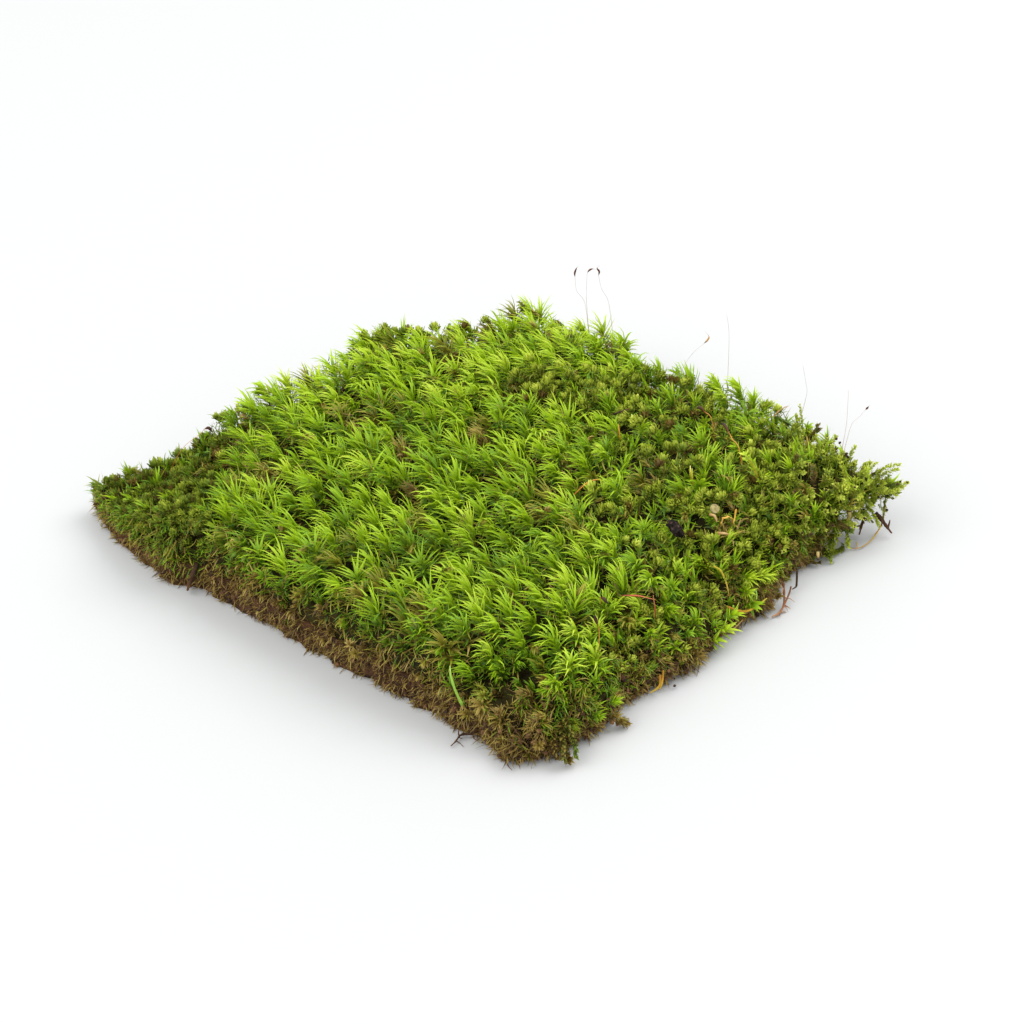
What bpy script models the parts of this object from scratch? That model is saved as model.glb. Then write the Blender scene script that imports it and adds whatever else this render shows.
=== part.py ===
"""A square-cut mat of living moss, laid on a flat surface.

The mat is one grid of cells seen from above. Each cell belongs to the broom moss or to one of the
colonies of knob moss, and every second corner of the grid is the tip of a tuft. The peat below is a
slab with a crumbling wall. Stalks, roots and loose bits lie on the moss or hang out of the peat.
"""

import math
import random

import bmesh
import bpy
from mathutils import Matrix, Vector
from mathutils.bvhtree import BVHTree

MM = 0.001  # every size and place below is in millimetres

# The four sides seen from above. +X runs along the cut front side, +Y towards the back.
LEFT_CORNER = (-90, -87)
NEAR_CORNER = (79, -85)
RIGHT_CORNER = (88.5, 70)
FAR_CORNER = (-58, 66)
FRONT_SIDE = [
    (-76, -91), (-64, -93), (-45, -95), (-40, -90), (-26, -89), (0, -88), (24, -86), (40, -84), (66, -82),
]
RIGHT_SIDE = [(87, -74), (88, -58), (85, -38), (89, -22), (85, -4), (86, 12), (81, 30), (80, 44)]
BACK_SIDE = [
    (-50, 70), (-36, 64), (-24, 75), (-10, 66), (-1, 62), (6, 70), (20, 70), (34, 75), (54, 70), (76, 68),
]
LEFT_SIDE = [(-86, -76), (-81, -62), (-81, -36), (-80, -22), (-74, -4), (-83, 18), (-67, 36), (-59, 48)]
MAT_LENGTH = 170
MAT_WIDTH = 153
CELL = 3.6

PEAT_TOP = 8
PEAT_LEVELS = (0, 2.8, 5.4, PEAT_TOP)
THINNEST_MOSS = 2.2
PEAT_CRUMBLE = (-0.6, 1.6)  # how far its wall draws back, at random
FRINGE_WIDTH = 9  # the moss hangs this far past the peat on the right side
FRINGE_LIFT = 0.8  # and hangs to this height above the surface
CORNER_LIFT = 13  # the right corner curls up by this much more
CORNER_REACH = 24
CORNER_CURVE = 0.6  # under 1, so that the lift comes early and then levels out
GAP = 0.3  # between touching pieces
SIDE_GAP = 0.18  # each of two neighbours draws back by this much
MOST_MITRE = 2

TIP_HEIGHT = 27
SWELL = 1.1  # height of the broad waves in the cushion
SWELL_LENGTHS = (17, 14)  # of the waves along X and along Y
TUFT_DEPTH = {"broom": 6.6, "knob": 3.4}
TIP_VARIATION = 0.07
HOLLOW_VARIATION = (0.7, 1.2)
LEAN = (-0.8, -0.7)  # the tufts are all combed this way
JITTER = {"tip": 1.3, "hollow": 0.8, "edge": 0.8}
LEAST_FACE = 1.2  # the plan area under which a face counts as folded
EASING_ROUNDS = 12
CLEAR_HEIGHT = 90  # above every tuft and stalk
LAYING_STEP = 0.4  # how closely a loose bit is tried against the moss below it
RING_POINTS = 12  # tried around a place to find the highest moss near it
LEVEL_ANGLE = 0.2  # in degrees: faces that differ by less are one level face
SEED = 11

# Where the cushion rounds down: share of the tip height at the edge, and how far in it reaches.
SHOULDERS = {"front": (0.84, 8), "left": (0.88, 14), "back": (0.92, 12), "right": (0.34, 24)}
CORNER_SHOULDERS = {"left": (0.36, 62), "near": (0.38, 40), "right": (0.74, 36), "far": (0.98, 10)}

# Colonies of knob moss: centre, half length, half width, and turn in degrees.
COLONIES = {
    "knob_moss_left": ((-92, -88), 42, 36, 0),
    "knob_moss_right": ((93, 70), 44, 52, 0),
    "knob_moss_far": ((-78, 32), 26, 12, 54),
    "knob_moss_back": ((-8, 37), 26, 11, 44),
}

# Stalks with their capsules: foot, route of the stalk, and route of the capsule, which may be absent.
STALKS = {
    "sporophyte_01": (
        (-30.1, 67),
        [(-31.6, 66.2, 32.9), (-33.6, 64.3, 37.6)],
        [(-34, 63.8, 42.6), (-34.1, 63.8, 44), (-33.7, 64.2, 45.7)],
    ),
    "sporophyte_02": (
        (-27.1, 64.2),
        [(-28.2, 63.1, 35.4), (-28.3, 63, 42.1)],
        [(-28.2, 63.1, 46.5), (-27.7, 63.6, 47.4), (-27, 64.3, 47.8)],
    ),
    "sporophyte_03": (
        (-22.5, 70.5),
        [(-24, 69, 34.7), (-25.7, 67.4, 39.8)],
        [(-26.5, 66.5, 44.8), (-26.4, 66.7, 46.2), (-26.9, 66.2, 47.4)],
    ),
    "sporophyte_04": (
        (9.4, 60.2),
        [(13.6, 64.2, 32.5)],
        [(16.5, 67, 37.1), (17.2, 67.7, 38.2), (17.5, 68, 39.6)],
    ),
    "sporophyte_05": (
        (23.6, 71),
        [(23.2, 70.6, 40.5), (22.3, 69.7, 48.8)],
        [],
    ),
    "sporophyte_06": (
        (53.5, 66.7),
        [(55, 68.2, 34.1), (54.7, 67.9, 38.2), (53.6, 66.9, 44.9)],
        [],
    ),
    "sporophyte_07": (
        (68.7, 68.7),
        [(69.3, 69.2, 29.1), (69.2, 69.1, 36.4), (69, 68.9, 41.9)],
        [],
    ),
    "sporophyte_08": (
        (70.8, 66.1),
        [(72.1, 67.4, 31.1), (73.6, 68.8, 34.3)],
        [(74.8, 70, 36.8), (75.2, 70.4, 37.5), (75.7, 70.8, 38.6)],
    ),
    "sporophyte_09": (
        (-78, -68),
        [(-73, -65, 20), (-69.4, -61, 24.6)],
        [(-68.2, -60, 26.6), (-67.2, -59, 27), (-66.6, -58.4, 25.6)],
    ),
    "sporophyte_10": (
        (39.3, 46.2),
        [(38.1, 45.2, 29)],
        [(35.6, 44.9, 30.6), (34, 44.7, 31.4), (32.9, 44.4, 30.8)],
    ),
    "sporophyte_11": (
        (57.2, 37.7),
        [(53.9, 38.6, 28.6), (51, 39.3, 30)],
        [(48.4, 40.4, 31), (46.3, 41.2, 32), (44.5, 41.6, 32)],
    ),
    "sporophyte_12": (
        (78, -48),
        [(78.8, -49, 23)],
        [(78.8, -49.6, 25.4), (78.4, -50, 27.4), (78, -50.2, 28.8)],
    ),
    "sporophyte_13": (
        (70, -38),
        [(71, -40, 25)],
        [(71.8, -40.8, 26.4), (73.2, -41, 26.6), (74.6, -41, 25.8)],
    ),
}
STALK_RADIUS = 0.2
STALK_FOOTING = 0.8  # a stalk stands on the highest moss within this distance
STALK_CLEARANCE = 0.6  # and its upper part stays this far from the moss
CAPSULE_RADII = (0.34, 0.52, 0.46, 0.16)

# Stems and thin litter: radius, and the route, which is lowered as it is onto the tufts.
LITTER = {
    "yellow_shoot": (0.8, [(64.5, 34.1, 24), (62.6, 33.8, 27.6), (61.4, 31.6, 31.4)]),
    "red_stalk": (0.4, [(72.6, -32.9, 24.1), (73.7, -30.5, 23.4), (74.8, -28.4, 22.7), (76.6, -23.9, 20)]),
    "arch_stalk": (0.35, [(32, -8, 28), (33.6, -4.5, 31), (34.4, -1, 31), (33.6, 3, 28)]),
    "straw_1": (0.5, [(76.1, 1.3, 19), (77.5, 2.7, 17.5), (80, 2.3, 14.8), (82.4, 0.9, 12.1)]),
}

# What sticks out of the mat or leans on its wall: radius, and the route from near the wall outwards.
ROOTS = {
    "pale_stem": (0.5, [(59.2, -83.9, 17.8), (61.3, -84.6, 15), (64.2, -84.8, 11.4)]),
    "straw_2": (0.7, [(86.8, 1, 7), (87.8, 4.6, 6.6), (88.2, 10.5, 7.4)]),
    "straw_3": (0.6, [(86.6, -9, 5), (88.8, -5, 5.4), (88.6, -0.4, 6)]),
    "root_left": (0.7, [(-36.6, -91.6, 9), (-36.4, -93, 5), (-37.2, -94, 1.4)]),
    "root_near": (0.4, [(65.4, -83.2, 1.8), (63.4, -84.8, 1), (64, -87.1, 0.8), (64.4, -89.4, 0.7)]),
    "root_right_1": (0.6, [(87.4, 19.6, 4), (88.9, 17.8, 1.6), (89.6, 14.8, 0.8), (89.2, 12.3, 0.7)]),
    "root_right_2": (0.5, [(85.1, 16.1, 5), (86.1, 15.6, 3), (87.2, 15, 1.8), (88, 15, 1)]),
    "root_corner_1": (0.8, [(86.4, 66.4, 6), (88.2, 67.4, 3.4), (89.6, 68.2, 1.4)]),
    "root_corner_2": (0.7, [(81.6, 64.6, 5.6), (82.1, 63.7, 3.6), (82.8, 61.5, 0.9)]),
    "root_loop": (
        0.5,
        [(85, 70, 7), (85.8, 68.4, 3), (86.3, 64.6, 0.9), (87.1, 60.7, 0.8), (86.8, 56, 0.8), (84, 53.6, 0.8)],
    ),
}

BARK_CRUMB = ((65.1, -3), (4.8, 2.2, 2), -27)  # place, half sizes, turn
SEED_HUSK = ((65.9, 13.2), (1.25, 1.2, 1.2), 0)
CRUMB_BUMPS = (0.84, 1.1)
CURLED_LEAF = ((69.5, 14.8), 6, 2.4, 0.5, 47)  # place, length, width, thickness, turn
CURL = 150  # degrees that the leaf is bent through
CURL_STEPS = 7
CURL_END = 0.35  # its width at the ends, against that in the middle

COLOURS = {
    "peat_brown": ((0.075, 0.042, 0.018), 0.95),
    "broom_green": ((0.20, 0.36, 0.035), 0.7),
    "knob_olive": ((0.23, 0.27, 0.05), 0.8),
    "stalk_brown": ((0.10, 0.025, 0.015), 0.5),
    "straw_yellow": ((0.50, 0.32, 0.06), 0.7),
    "husk_tan": ((0.42, 0.32, 0.18), 0.8),
    "bark_dark": ((0.025, 0.014, 0.010), 0.9),
}

dice = random.Random(SEED)


def clear_scene():
    for thing in list(bpy.data.objects):
        bpy.data.objects.remove(thing, do_unlink=True)


def make_materials():
    made = {}
    for name, (colour, roughness) in COLOURS.items():
        material = bpy.data.materials.new(name)
        material.use_nodes = True
        shader = material.node_tree.nodes["Principled BSDF"]
        shader.inputs["Base Color"].default_value = (*colour, 1)
        shader.inputs["Roughness"].default_value = roughness
        shader.inputs["Metallic"].default_value = 0
        made[name] = material
    return made


def add_object(name, data, material, parent):
    data.materials.append(material)
    piece = bpy.data.objects.new(name, data)
    bpy.context.collection.objects.link(piece)
    piece.parent = parent
    return piece


def along(points, share):
    """The point at this share of the length of the line through points."""
    lengths = [math.dist(a, b) for a, b in zip(points, points[1:])]
    left = share * sum(lengths)
    for start, end, length in zip(points, points[1:], lengths):
        if left <= length:
            return Vector(start).lerp(Vector(end), left / length)
        left -= length
    return Vector(points[-1])


def smooth_route(points, steps):
    """Points on a Catmull-Rom curve through the given ones."""
    route = [Vector(p) for p in points]
    route = [2 * route[0] - route[1], *route, 2 * route[-1] - route[-2]]
    curve = []
    for a, b, c, d in zip(route, route[1:], route[2:], route[3:]):
        for step in range(steps):
            t = step / steps
            bend = (2 * a - 5 * b + 4 * c - d) * t**2 + (3 * b - a - 3 * c + d) * t**3
            curve.append(b + ((c - a) * t + bend) / 2)
    return curve + [route[-2]]


class Mat:
    """The grid of cells that the peat and every moss are cut from."""

    def __init__(self):
        self.columns = round(MAT_LENGTH / CELL)
        self.rows = round(MAT_WIDTH / CELL)
        self.sides = {
            "front": [LEFT_CORNER, *FRONT_SIDE, NEAR_CORNER],
            "back": [FAR_CORNER, *BACK_SIDE, RIGHT_CORNER],
            "left": [LEFT_CORNER, *LEFT_SIDE, FAR_CORNER],
            "right": [NEAR_CORNER, *RIGHT_SIDE, RIGHT_CORNER],
        }
        self.corners = [(i, j) for i in range(self.columns + 1) for j in range(self.rows + 1)]
        self.cells = [(i, j) for i in range(self.columns) for j in range(self.rows)]
        self.plan = {corner: self.place(*corner) for corner in self.corners}
        self.unfold()
        self.owner = {cell: self.colony_at(self.middle(cell)) for cell in self.cells}
        self.square_off_colonies()
        self.on_peat = {cell for cell in self.cells if self.has_peat(*cell)}
        self.height = {corner: self.top_height(*corner) for corner in self.corners}

    def is_tip(self, i, j):
        """Tufts stand on every second corner, in staggered rows, so each cell touches just one."""
        return j % 2 == 1 and (i + j // 2) % 2 == 1

    def place(self, i, j):
        """The plan position: a blend of the four ragged sides, shaken a little, with leaning tips."""
        u, v = i / self.columns, j / self.rows
        sides = (
            along(self.sides["front"], u) * (1 - v)
            + along(self.sides["back"], u) * v
            + along(self.sides["left"], v) * (1 - u)
            + along(self.sides["right"], v) * u
        )
        ends = (
            Vector(LEFT_CORNER) * (1 - u) * (1 - v)
            + Vector(NEAR_CORNER) * u * (1 - v)
            + Vector(FAR_CORNER) * (1 - u) * v
            + Vector(RIGHT_CORNER) * u * v
        )
        at_edge = i in (0, self.columns) or j in (0, self.rows)
        shake = JITTER["edge" if at_edge else "tip" if self.is_tip(i, j) else "hollow"]
        spot = sides - ends + Vector((dice.uniform(-shake, shake), dice.uniform(-shake, shake)))
        return spot + Vector(LEAN) if self.is_tip(i, j) and not at_edge else spot

    def unfold(self):
        """Eases the corners of any folded cell towards the middle of their neighbours."""
        for _ in range(EASING_ROUNDS):
            tight = [cell for cell in self.cells if self.least_face(cell) < LEAST_FACE]
            for i, j in sorted({corner for cell in tight for corner in cell_corners(cell)}):
                if 0 < i < self.columns and 0 < j < self.rows:
                    beside = [self.plan[spot] for spot in ((i - 1, j), (i + 1, j), (i, j - 1), (i, j + 1))]
                    self.plan[(i, j)] = self.plan[(i, j)].lerp(sum(beside, Vector((0, 0))) / 4, 0.5)

    def least_face(self, cell):
        """The smaller plan area of the two faces of a cell, which meet on the line from its tip."""
        around = cell_corners(cell)
        tip = next(k for k, corner in enumerate(around) if self.is_tip(*corner))
        a, b, c, d = (self.plan[around[(tip + k) % 4]] for k in range(4))
        return min((b - a).cross(c - a), (c - a).cross(d - a)) / 2

    def inset(self, i, j):
        """How far in from each side a corner of the grid is, in millimetres."""
        return {
            "left": i * CELL,
            "right": (self.columns - i) * CELL,
            "front": j * CELL,
            "back": (self.rows - j) * CELL,
        }

    def envelope(self, i, j):
        """The height of the tuft tips: level inside, rounded down to the sides and corners."""
        inset = self.inset(i, j)
        reach = {
            "left": math.hypot(inset["left"], inset["front"]),
            "near": math.hypot(inset["right"], inset["front"]),
            "right": math.hypot(inset["right"], inset["back"]),
            "far": math.hypot(inset["left"], inset["back"]),
        }
        share = 1.0
        for corner, (at_corner, width) in CORNER_SHOULDERS.items():
            t = min(reach[corner] / width, 1)
            share = min(share, at_corner + (1 - at_corner) * t * t * (3 - 2 * t))
        curl = max(0, 1 - reach["right"] / (2 * CORNER_REACH))  # the right side stands up at its corner
        for side, (at_edge, width) in SHOULDERS.items():
            edge = at_edge + (1 - at_edge) * curl
            t = min(inset[side] / width, 1)
            share = min(share, edge + (1 - edge) * t * (2 - t))
        x, y = self.plan[(i, j)]
        return TIP_HEIGHT * share + SWELL * math.sin(x / SWELL_LENGTHS[0]) * math.cos(y / SWELL_LENGTHS[1])

    def top_height(self, i, j):
        tips = self.envelope(i, j)
        if self.is_tip(i, j):
            return tips * dice.uniform(1 - TIP_VARIATION, 1 + TIP_VARIATION)
        colonies = {self.owner[cell] for cell in self.around(i, j)}
        depth = TUFT_DEPTH["broom" if "broom_moss_turf" in colonies else "knob"]
        floor = max(self.floor_height(i, j, cell in self.on_peat) for cell in self.around(i, j))
        return max(tips - depth * dice.uniform(*HOLLOW_VARIATION), floor + THINNEST_MOSS)

    def floor_height(self, i, j, has_peat):
        """The underside of the moss: on the peat, or hanging past it."""
        if has_peat:
            return PEAT_TOP + GAP
        inset = self.inset(i, j)
        near = max(0, 1 - math.hypot(inset["right"], inset["back"]) / CORNER_REACH)
        return FRINGE_LIFT + CORNER_LIFT * near**CORNER_CURVE

    def around(self, i, j):
        found = ((i - 1, j - 1), (i, j - 1), (i - 1, j), (i, j))
        return [cell for cell in found if 0 <= cell[0] < self.columns and 0 <= cell[1] < self.rows]

    def middle(self, cell):
        return sum((self.plan[corner] for corner in cell_corners(cell)), Vector((0, 0))) / 4

    def colony_at(self, spot):
        for name, (centre, half_length, half_width, turn) in COLONIES.items():
            away = Matrix.Rotation(-math.radians(turn), 2) @ (spot - Vector(centre))
            if math.hypot(away.x / half_length, away.y / half_width) < 1:
                return name
        return "broom_moss_turf"

    def square_off_colonies(self):
        """Where cells of one moss touch only at a corner, the colony takes the cell between them."""
        for i in range(1, self.columns):
            for j in range(1, self.rows):
                a, b, c, d = (self.owner[cell] for cell in self.around(i, j))
                if a == d and b == c and a != b:
                    self.owner[(i, j)] = self.owner[(i - 1, j - 1)] = b if a == "broom_moss_turf" else a
                    self.owner[(i - 1, j)] = self.owner[(i, j)]

    def has_peat(self, i, j):
        inset = self.inset(i + 0.5, j + 0.5)
        to_right_corner = math.hypot(inset["right"], inset["back"])
        return inset["right"] > FRINGE_WIDTH and to_right_corner > CORNER_REACH

    def pulled(self, corner, cells):
        """The step that parts these cells from the other ones that they meet at this corner."""
        inward = []
        for cell in self.around(*corner):
            if cell not in cells:
                continue
            for start, end, beyond in cell_sides(cell):
                if corner in (start, end) and beyond in self.owner and beyond not in cells:
                    side = self.plan[end] - self.plan[start]
                    inward.append(Vector((-side.y, side.x)).normalized())
        total = sum(inward, Vector((0, 0)))
        if total.length < 0.01:
            return Vector((0, 0))
        reach = min(len(inward) / total.length, MOST_MITRE)
        return total.normalized() * SIDE_GAP * reach

    def meets_peat(self, corner, cells):
        return any(cell in cells and cell in self.on_peat for cell in self.around(*corner))


def cell_corners(cell):
    i, j = cell
    return [(i, j), (i + 1, j), (i + 1, j + 1), (i, j + 1)]


def cell_sides(cell):
    """Each side of a cell with the neighbour beyond it, anticlockwise."""
    i, j = cell
    around = cell_corners(cell)
    beyond = [(i, j - 1), (i + 1, j), (i, j + 1), (i - 1, j)]
    return zip(around, around[1:] + around[:1], beyond)


def flatten_away(bm, faces):
    """Merges level neighbouring faces into large ones, always in the same order."""
    bm.verts.index_update()
    bm.edges.index_update()
    inner = {edge for face in faces for edge in face.edges if faces.issuperset(edge.link_faces)}
    ends = {vert for edge in inner for vert in edge.verts}
    bmesh.ops.dissolve_limit(
        bm,
        angle_limit=math.radians(LEVEL_ANGLE),
        use_dissolve_boundaries=False,
        verts=sorted(ends, key=lambda vert: vert.index),
        edges=sorted(inner, key=lambda edge: edge.index),
    )


def finish_mesh(bm, name):
    bmesh.ops.scale(bm, vec=(MM, MM, MM), verts=bm.verts)
    bmesh.ops.recalc_face_normals(bm, faces=bm.faces)
    mesh = bpy.data.meshes.new(name)
    bm.to_mesh(mesh)
    bm.free()
    return mesh


def moss_solid(mat, name):
    """One kind of moss over its cells: tufted above, level below, hanging past the peat at the right."""
    cells = {cell for cell in mat.cells if mat.owner[cell] == name}
    bm = bmesh.new()
    top, under = {}, {}

    def top_vert(corner):
        if corner not in top:
            spot = mat.plan[corner] + mat.pulled(corner, cells)
            top[corner] = bm.verts.new((*spot, mat.height[corner]))
        return top[corner]

    def under_vert(corner, has_peat):
        if (corner, has_peat) not in under:
            off_peat = set(mat.cells) - mat.on_peat
            spot = mat.plan[corner] + mat.pulled(corner, cells) + mat.pulled(corner, off_peat)
            under[(corner, has_peat)] = bm.verts.new((*spot, mat.floor_height(*corner, has_peat)))
        return under[(corner, has_peat)]

    level = {"left half": set(), "right half": set()}
    for cell in sorted(cells):
        has_peat = cell in mat.on_peat
        around = cell_corners(cell)
        tip = next(k for k, corner in enumerate(around) if mat.is_tip(*corner))
        a, b, c, d = (top_vert(around[(tip + k) % 4]) for k in range(4))
        bm.faces.new((a, b, c))
        bm.faces.new((a, c, d))
        half = "left half" if cell[0] < mat.columns // 2 else "right half"
        level[half].add(bm.faces.new([under_vert(corner, has_peat) for corner in reversed(around)]))
        for start, end, beyond in cell_sides(cell):
            if beyond not in cells:
                step = {start: [], end: []}
                for corner in (start, end):
                    if not has_peat and mat.meets_peat(corner, cells):
                        step[corner].append(under_vert(corner, True))
                rise = [under_vert(end, has_peat), *step[end], top_vert(end)]
                fall = [top_vert(start), *step[start], under_vert(start, has_peat)]
                bm.faces.new(rise + fall)
            elif has_peat and beyond not in mat.on_peat:
                high = under_vert(start, True), under_vert(end, True)
                bm.faces.new((under_vert(start, False), under_vert(end, False), high[1], high[0]))
    for faces in level.values():  # in halves, so that no large face has another colony as a hole in it
        flatten_away(bm, faces)
    return finish_mesh(bm, name)


def peat_solid(mat):
    """The cut slab of peat: level above and below, with a crumbling wall where it shows."""
    cells = mat.on_peat
    bm = bmesh.new()
    made = {}

    def vert(corner, level):
        if (corner, level) not in made:
            spot = mat.plan[corner] + mat.pulled(corner, cells)
            if len(mat.around(*corner)) < 4:
                own = [mat.middle(cell) for cell in mat.around(*corner)]
                inward = (sum(own, Vector((0, 0))) / len(own) - mat.plan[corner]).normalized()
                spot += inward * dice.uniform(*PEAT_CRUMBLE)
            made[(corner, level)] = bm.verts.new((*spot, level))
        return made[(corner, level)]

    level_faces = set()
    for cell in sorted(cells):
        around = cell_corners(cell)
        level_faces.add(bm.faces.new([vert(corner, PEAT_TOP) for corner in around]))
        level_faces.add(bm.faces.new([vert(corner, 0) for corner in reversed(around)]))
        for start, end, beyond in cell_sides(cell):
            if beyond in cells:
                continue
            for low, high in zip(PEAT_LEVELS, PEAT_LEVELS[1:]):
                bm.faces.new((vert(start, low), vert(end, low), vert(end, high), vert(start, high)))
    flatten_away(bm, level_faces)
    return finish_mesh(bm, "peat_base")


def moss_surface(meshes):
    """Everything that a loose bit could touch, as one tree to measure against."""
    verts, faces = [], []
    for mesh in meshes:
        first = len(verts)
        verts += [v.co / MM for v in mesh.vertices]
        faces += [[first + k for k in face.vertices] for face in mesh.polygons]
    return BVHTree.FromPolygons(verts, faces)


def highest_under(surface, x, y, spread):
    """The highest point of the moss within a small circle, or None beside the mat."""
    ring = [(x, y)] + [
        (x + r * math.cos(a), y + r * math.sin(a))
        for r in (spread / 3, spread * 2 / 3, spread)
        for a in (k * math.tau / RING_POINTS for k in range(RING_POINTS))
    ]
    hits = [surface.ray_cast(Vector((px, py, CLEAR_HEIGHT)), Vector((0, 0, -1)))[0] for px, py in ring]
    return max((hit.z for hit in hits if hit), default=None)


def tube(name, route, radii):
    """A thin round stem along the route, its radius blended from the given ones."""
    curve = bpy.data.curves.new(name, "CURVE")
    curve.dimensions = "3D"
    curve.bevel_depth = MM
    curve.bevel_resolution = 1
    curve.use_fill_caps = True
    spline = curve.splines.new("POLY")
    spline.points.add(len(route) - 1)
    for point, spot, radius in zip(spline.points, route, radii):
        point.co = (*(spot * MM), 1)
        point.radius = radius
    return curve


def blend(values, count):
    """The values spread evenly over count steps."""
    spread = []
    for k in range(count):
        at = k * (len(values) - 1) / (count - 1)
        low = min(int(at), len(values) - 2)
        spread.append(values[low] + (values[low + 1] - values[low]) * (at - low))
    return spread


def stalk(surface, name, foot, stem, capsule):
    """A stalk that stands on the moss, with a curved beaked capsule at its end."""
    start = (*foot, highest_under(surface, *foot, STALK_FOOTING) + GAP)
    route = smooth_route([start, *stem, *capsule[:1]], 3)
    radii = [STALK_RADIUS] * len(route)
    if capsule:
        pod = smooth_route([capsule[0], *capsule], 2)[2:]
        route = route[:-1] + pod
        radii = radii[:-1] + blend(CAPSULE_RADII, len(pod))
    cleared = [route[0]]
    for spot, radius in zip(route[1:], radii[1:]):
        ground = highest_under(surface, spot.x, spot.y, radius + STALK_CLEARANCE)
        lift = max(spot.z, ground + radius + GAP) if ground is not None else spot.z
        cleared.append(Vector((spot.x, spot.y, lift)))
    return tube(name, cleared, radii)


def lying_stem(surface, name, radius, points):
    """A stiff stem that lies on the highest tufts below its route."""
    route = smooth_route(points, 3)
    room = min(spot.z - highest_under(surface, spot.x, spot.y, radius + GAP) for spot in route)
    for spot in route:
        spot.z -= room - radius - GAP
    return tube(name, route, blend((radius * 0.7, radius, radius * 0.5), len(route)))


def root(surface, name, radius, points):
    """A root or stem that starts just clear of the nearest part of the mat."""
    start, second = Vector(points[0]), Vector(points[1])
    wall = surface.find_nearest(start)[0]
    outward = (start - wall).normalized()
    clearance = GAP + radius * math.sin(outward.angle(second - start))
    route = smooth_route([wall + outward * clearance, *points[1:]], 3)
    return tube(name, route, blend((radius, radius * 0.8, radius * 0.45), len(route)))


def lay_down(surface, bm, place, turn):
    """Turns a loose bit, takes it to its place and lowers it onto the tufts."""
    bmesh.ops.rotate(bm, matrix=Matrix.Rotation(math.radians(turn), 3, "Z"), verts=bm.verts)
    bmesh.ops.translate(bm, vec=(*place, CLEAR_HEIGHT), verts=bm.verts)
    bit = BVHTree.FromBMesh(bm)
    low = [min(vert.co[k] for vert in bm.verts) for k in (0, 1)]
    high = [max(vert.co[k] for vert in bm.verts) for k in (0, 1)]
    counts = [math.ceil((high[k] - low[k]) / LAYING_STEP) for k in (0, 1)]
    room = []
    for i in range(1, counts[0]):
        for j in range(1, counts[1]):
            x, y = low[0] + i * LAYING_STEP, low[1] + j * LAYING_STEP
            bottom = bit.ray_cast(Vector((x, y, 0)), Vector((0, 0, 1)))[0]
            if bottom:
                room.append(bottom.z - highest_under(surface, x, y, GAP))
    bmesh.ops.translate(bm, vec=(0, 0, GAP - min(room)), verts=bm.verts)


def crumb(surface, name, place, half_sizes, turn):
    """A small lumpy bit that rests on the tufts."""
    bm = bmesh.new()
    bmesh.ops.create_icosphere(bm, subdivisions=2, radius=1)
    for vert in bm.verts:
        vert.co *= dice.uniform(*CRUMB_BUMPS)
    bmesh.ops.scale(bm, vec=half_sizes, verts=bm.verts)
    lay_down(surface, bm, place, turn)
    return finish_mesh(bm, name)


def curled_leaf(surface, name, place, length, width, thickness, turn):
    """A dry leaf bent into an arc, its two ends on the tufts."""
    bend = math.radians(CURL)
    radius = length / bend
    bm = bmesh.new()
    rings = []
    for k in range(CURL_STEPS + 1):
        share = k / CURL_STEPS
        angle = bend * (share - 0.5)
        half = width / 2 * (CURL_END + (1 - CURL_END) * math.sin(math.pi * share))
        ring = []
        inside = radius - thickness
        for r, side in ((radius, -half), (radius, half), (inside, half), (inside, -half)):
            ring.append(bm.verts.new((r * math.sin(angle), side, r * math.cos(angle))))
        rings.append(ring)
    for a, b in zip(rings, rings[1:]):
        for k in range(4):
            bm.faces.new((a[k], a[(k + 1) % 4], b[(k + 1) % 4], b[k]))
    bm.faces.new(rings[0])
    bm.faces.new(list(reversed(rings[-1])))
    lay_down(surface, bm, place, turn)
    return finish_mesh(bm, name)


def centre_on_origin(frame):
    """Puts the middle of the underside of everything at the origin."""
    bpy.context.view_layer.update()
    graph = bpy.context.evaluated_depsgraph_get()
    spots = []
    for piece in frame.children:
        shown = piece.evaluated_get(graph)
        mesh = shown.to_mesh()
        spots += [shown.matrix_world @ vert.co for vert in mesh.vertices]
        shown.to_mesh_clear()
    low = [min(spot[k] for spot in spots) for k in range(3)]
    high = [max(spot[k] for spot in spots) for k in range(3)]
    frame.location = (-(low[0] + high[0]) / 2, -(low[1] + high[1]) / 2, -low[2])


def main():
    clear_scene()
    materials = make_materials()
    frame = bpy.data.objects.new("moss_clump_frame", None)
    bpy.context.collection.objects.link(frame)

    mat = Mat()
    peat = peat_solid(mat)
    add_object("peat_base", peat, materials["peat_brown"], frame)
    solids = [peat]
    for name in ("broom_moss_turf", *COLONIES):
        mesh = moss_solid(mat, name)
        add_object(name, mesh, materials["broom_green" if name == "broom_moss_turf" else "knob_olive"], frame)
        solids.append(mesh)

    surface = moss_surface(solids)
    for name, (foot, stem, capsule) in STALKS.items():
        add_object(name, stalk(surface, name, foot, stem, capsule), materials["stalk_brown"], frame)
    for name, (radius, points) in LITTER.items():
        add_object(name, lying_stem(surface, name, radius, points), materials["straw_yellow"], frame)
    for name, (radius, points) in ROOTS.items():
        material = materials["stalk_brown" if "root" in name else "straw_yellow"]
        add_object(name, root(surface, name, radius, points), material, frame)
    add_object("bark_crumb", crumb(surface, "bark_crumb", *BARK_CRUMB), materials["bark_dark"], frame)
    add_object("seed_husk", crumb(surface, "seed_husk", *SEED_HUSK), materials["husk_tan"], frame)
    add_object("curled_leaf", curled_leaf(surface, "curled_leaf", *CURLED_LEAF), materials["husk_tan"], frame)
    centre_on_origin(frame)


main()
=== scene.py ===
import itertools
import math

import bpy
import numpy as np
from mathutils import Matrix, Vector, noise
from mathutils.bvhtree import BVHTree
from mathutils.kdtree import KDTree


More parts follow.
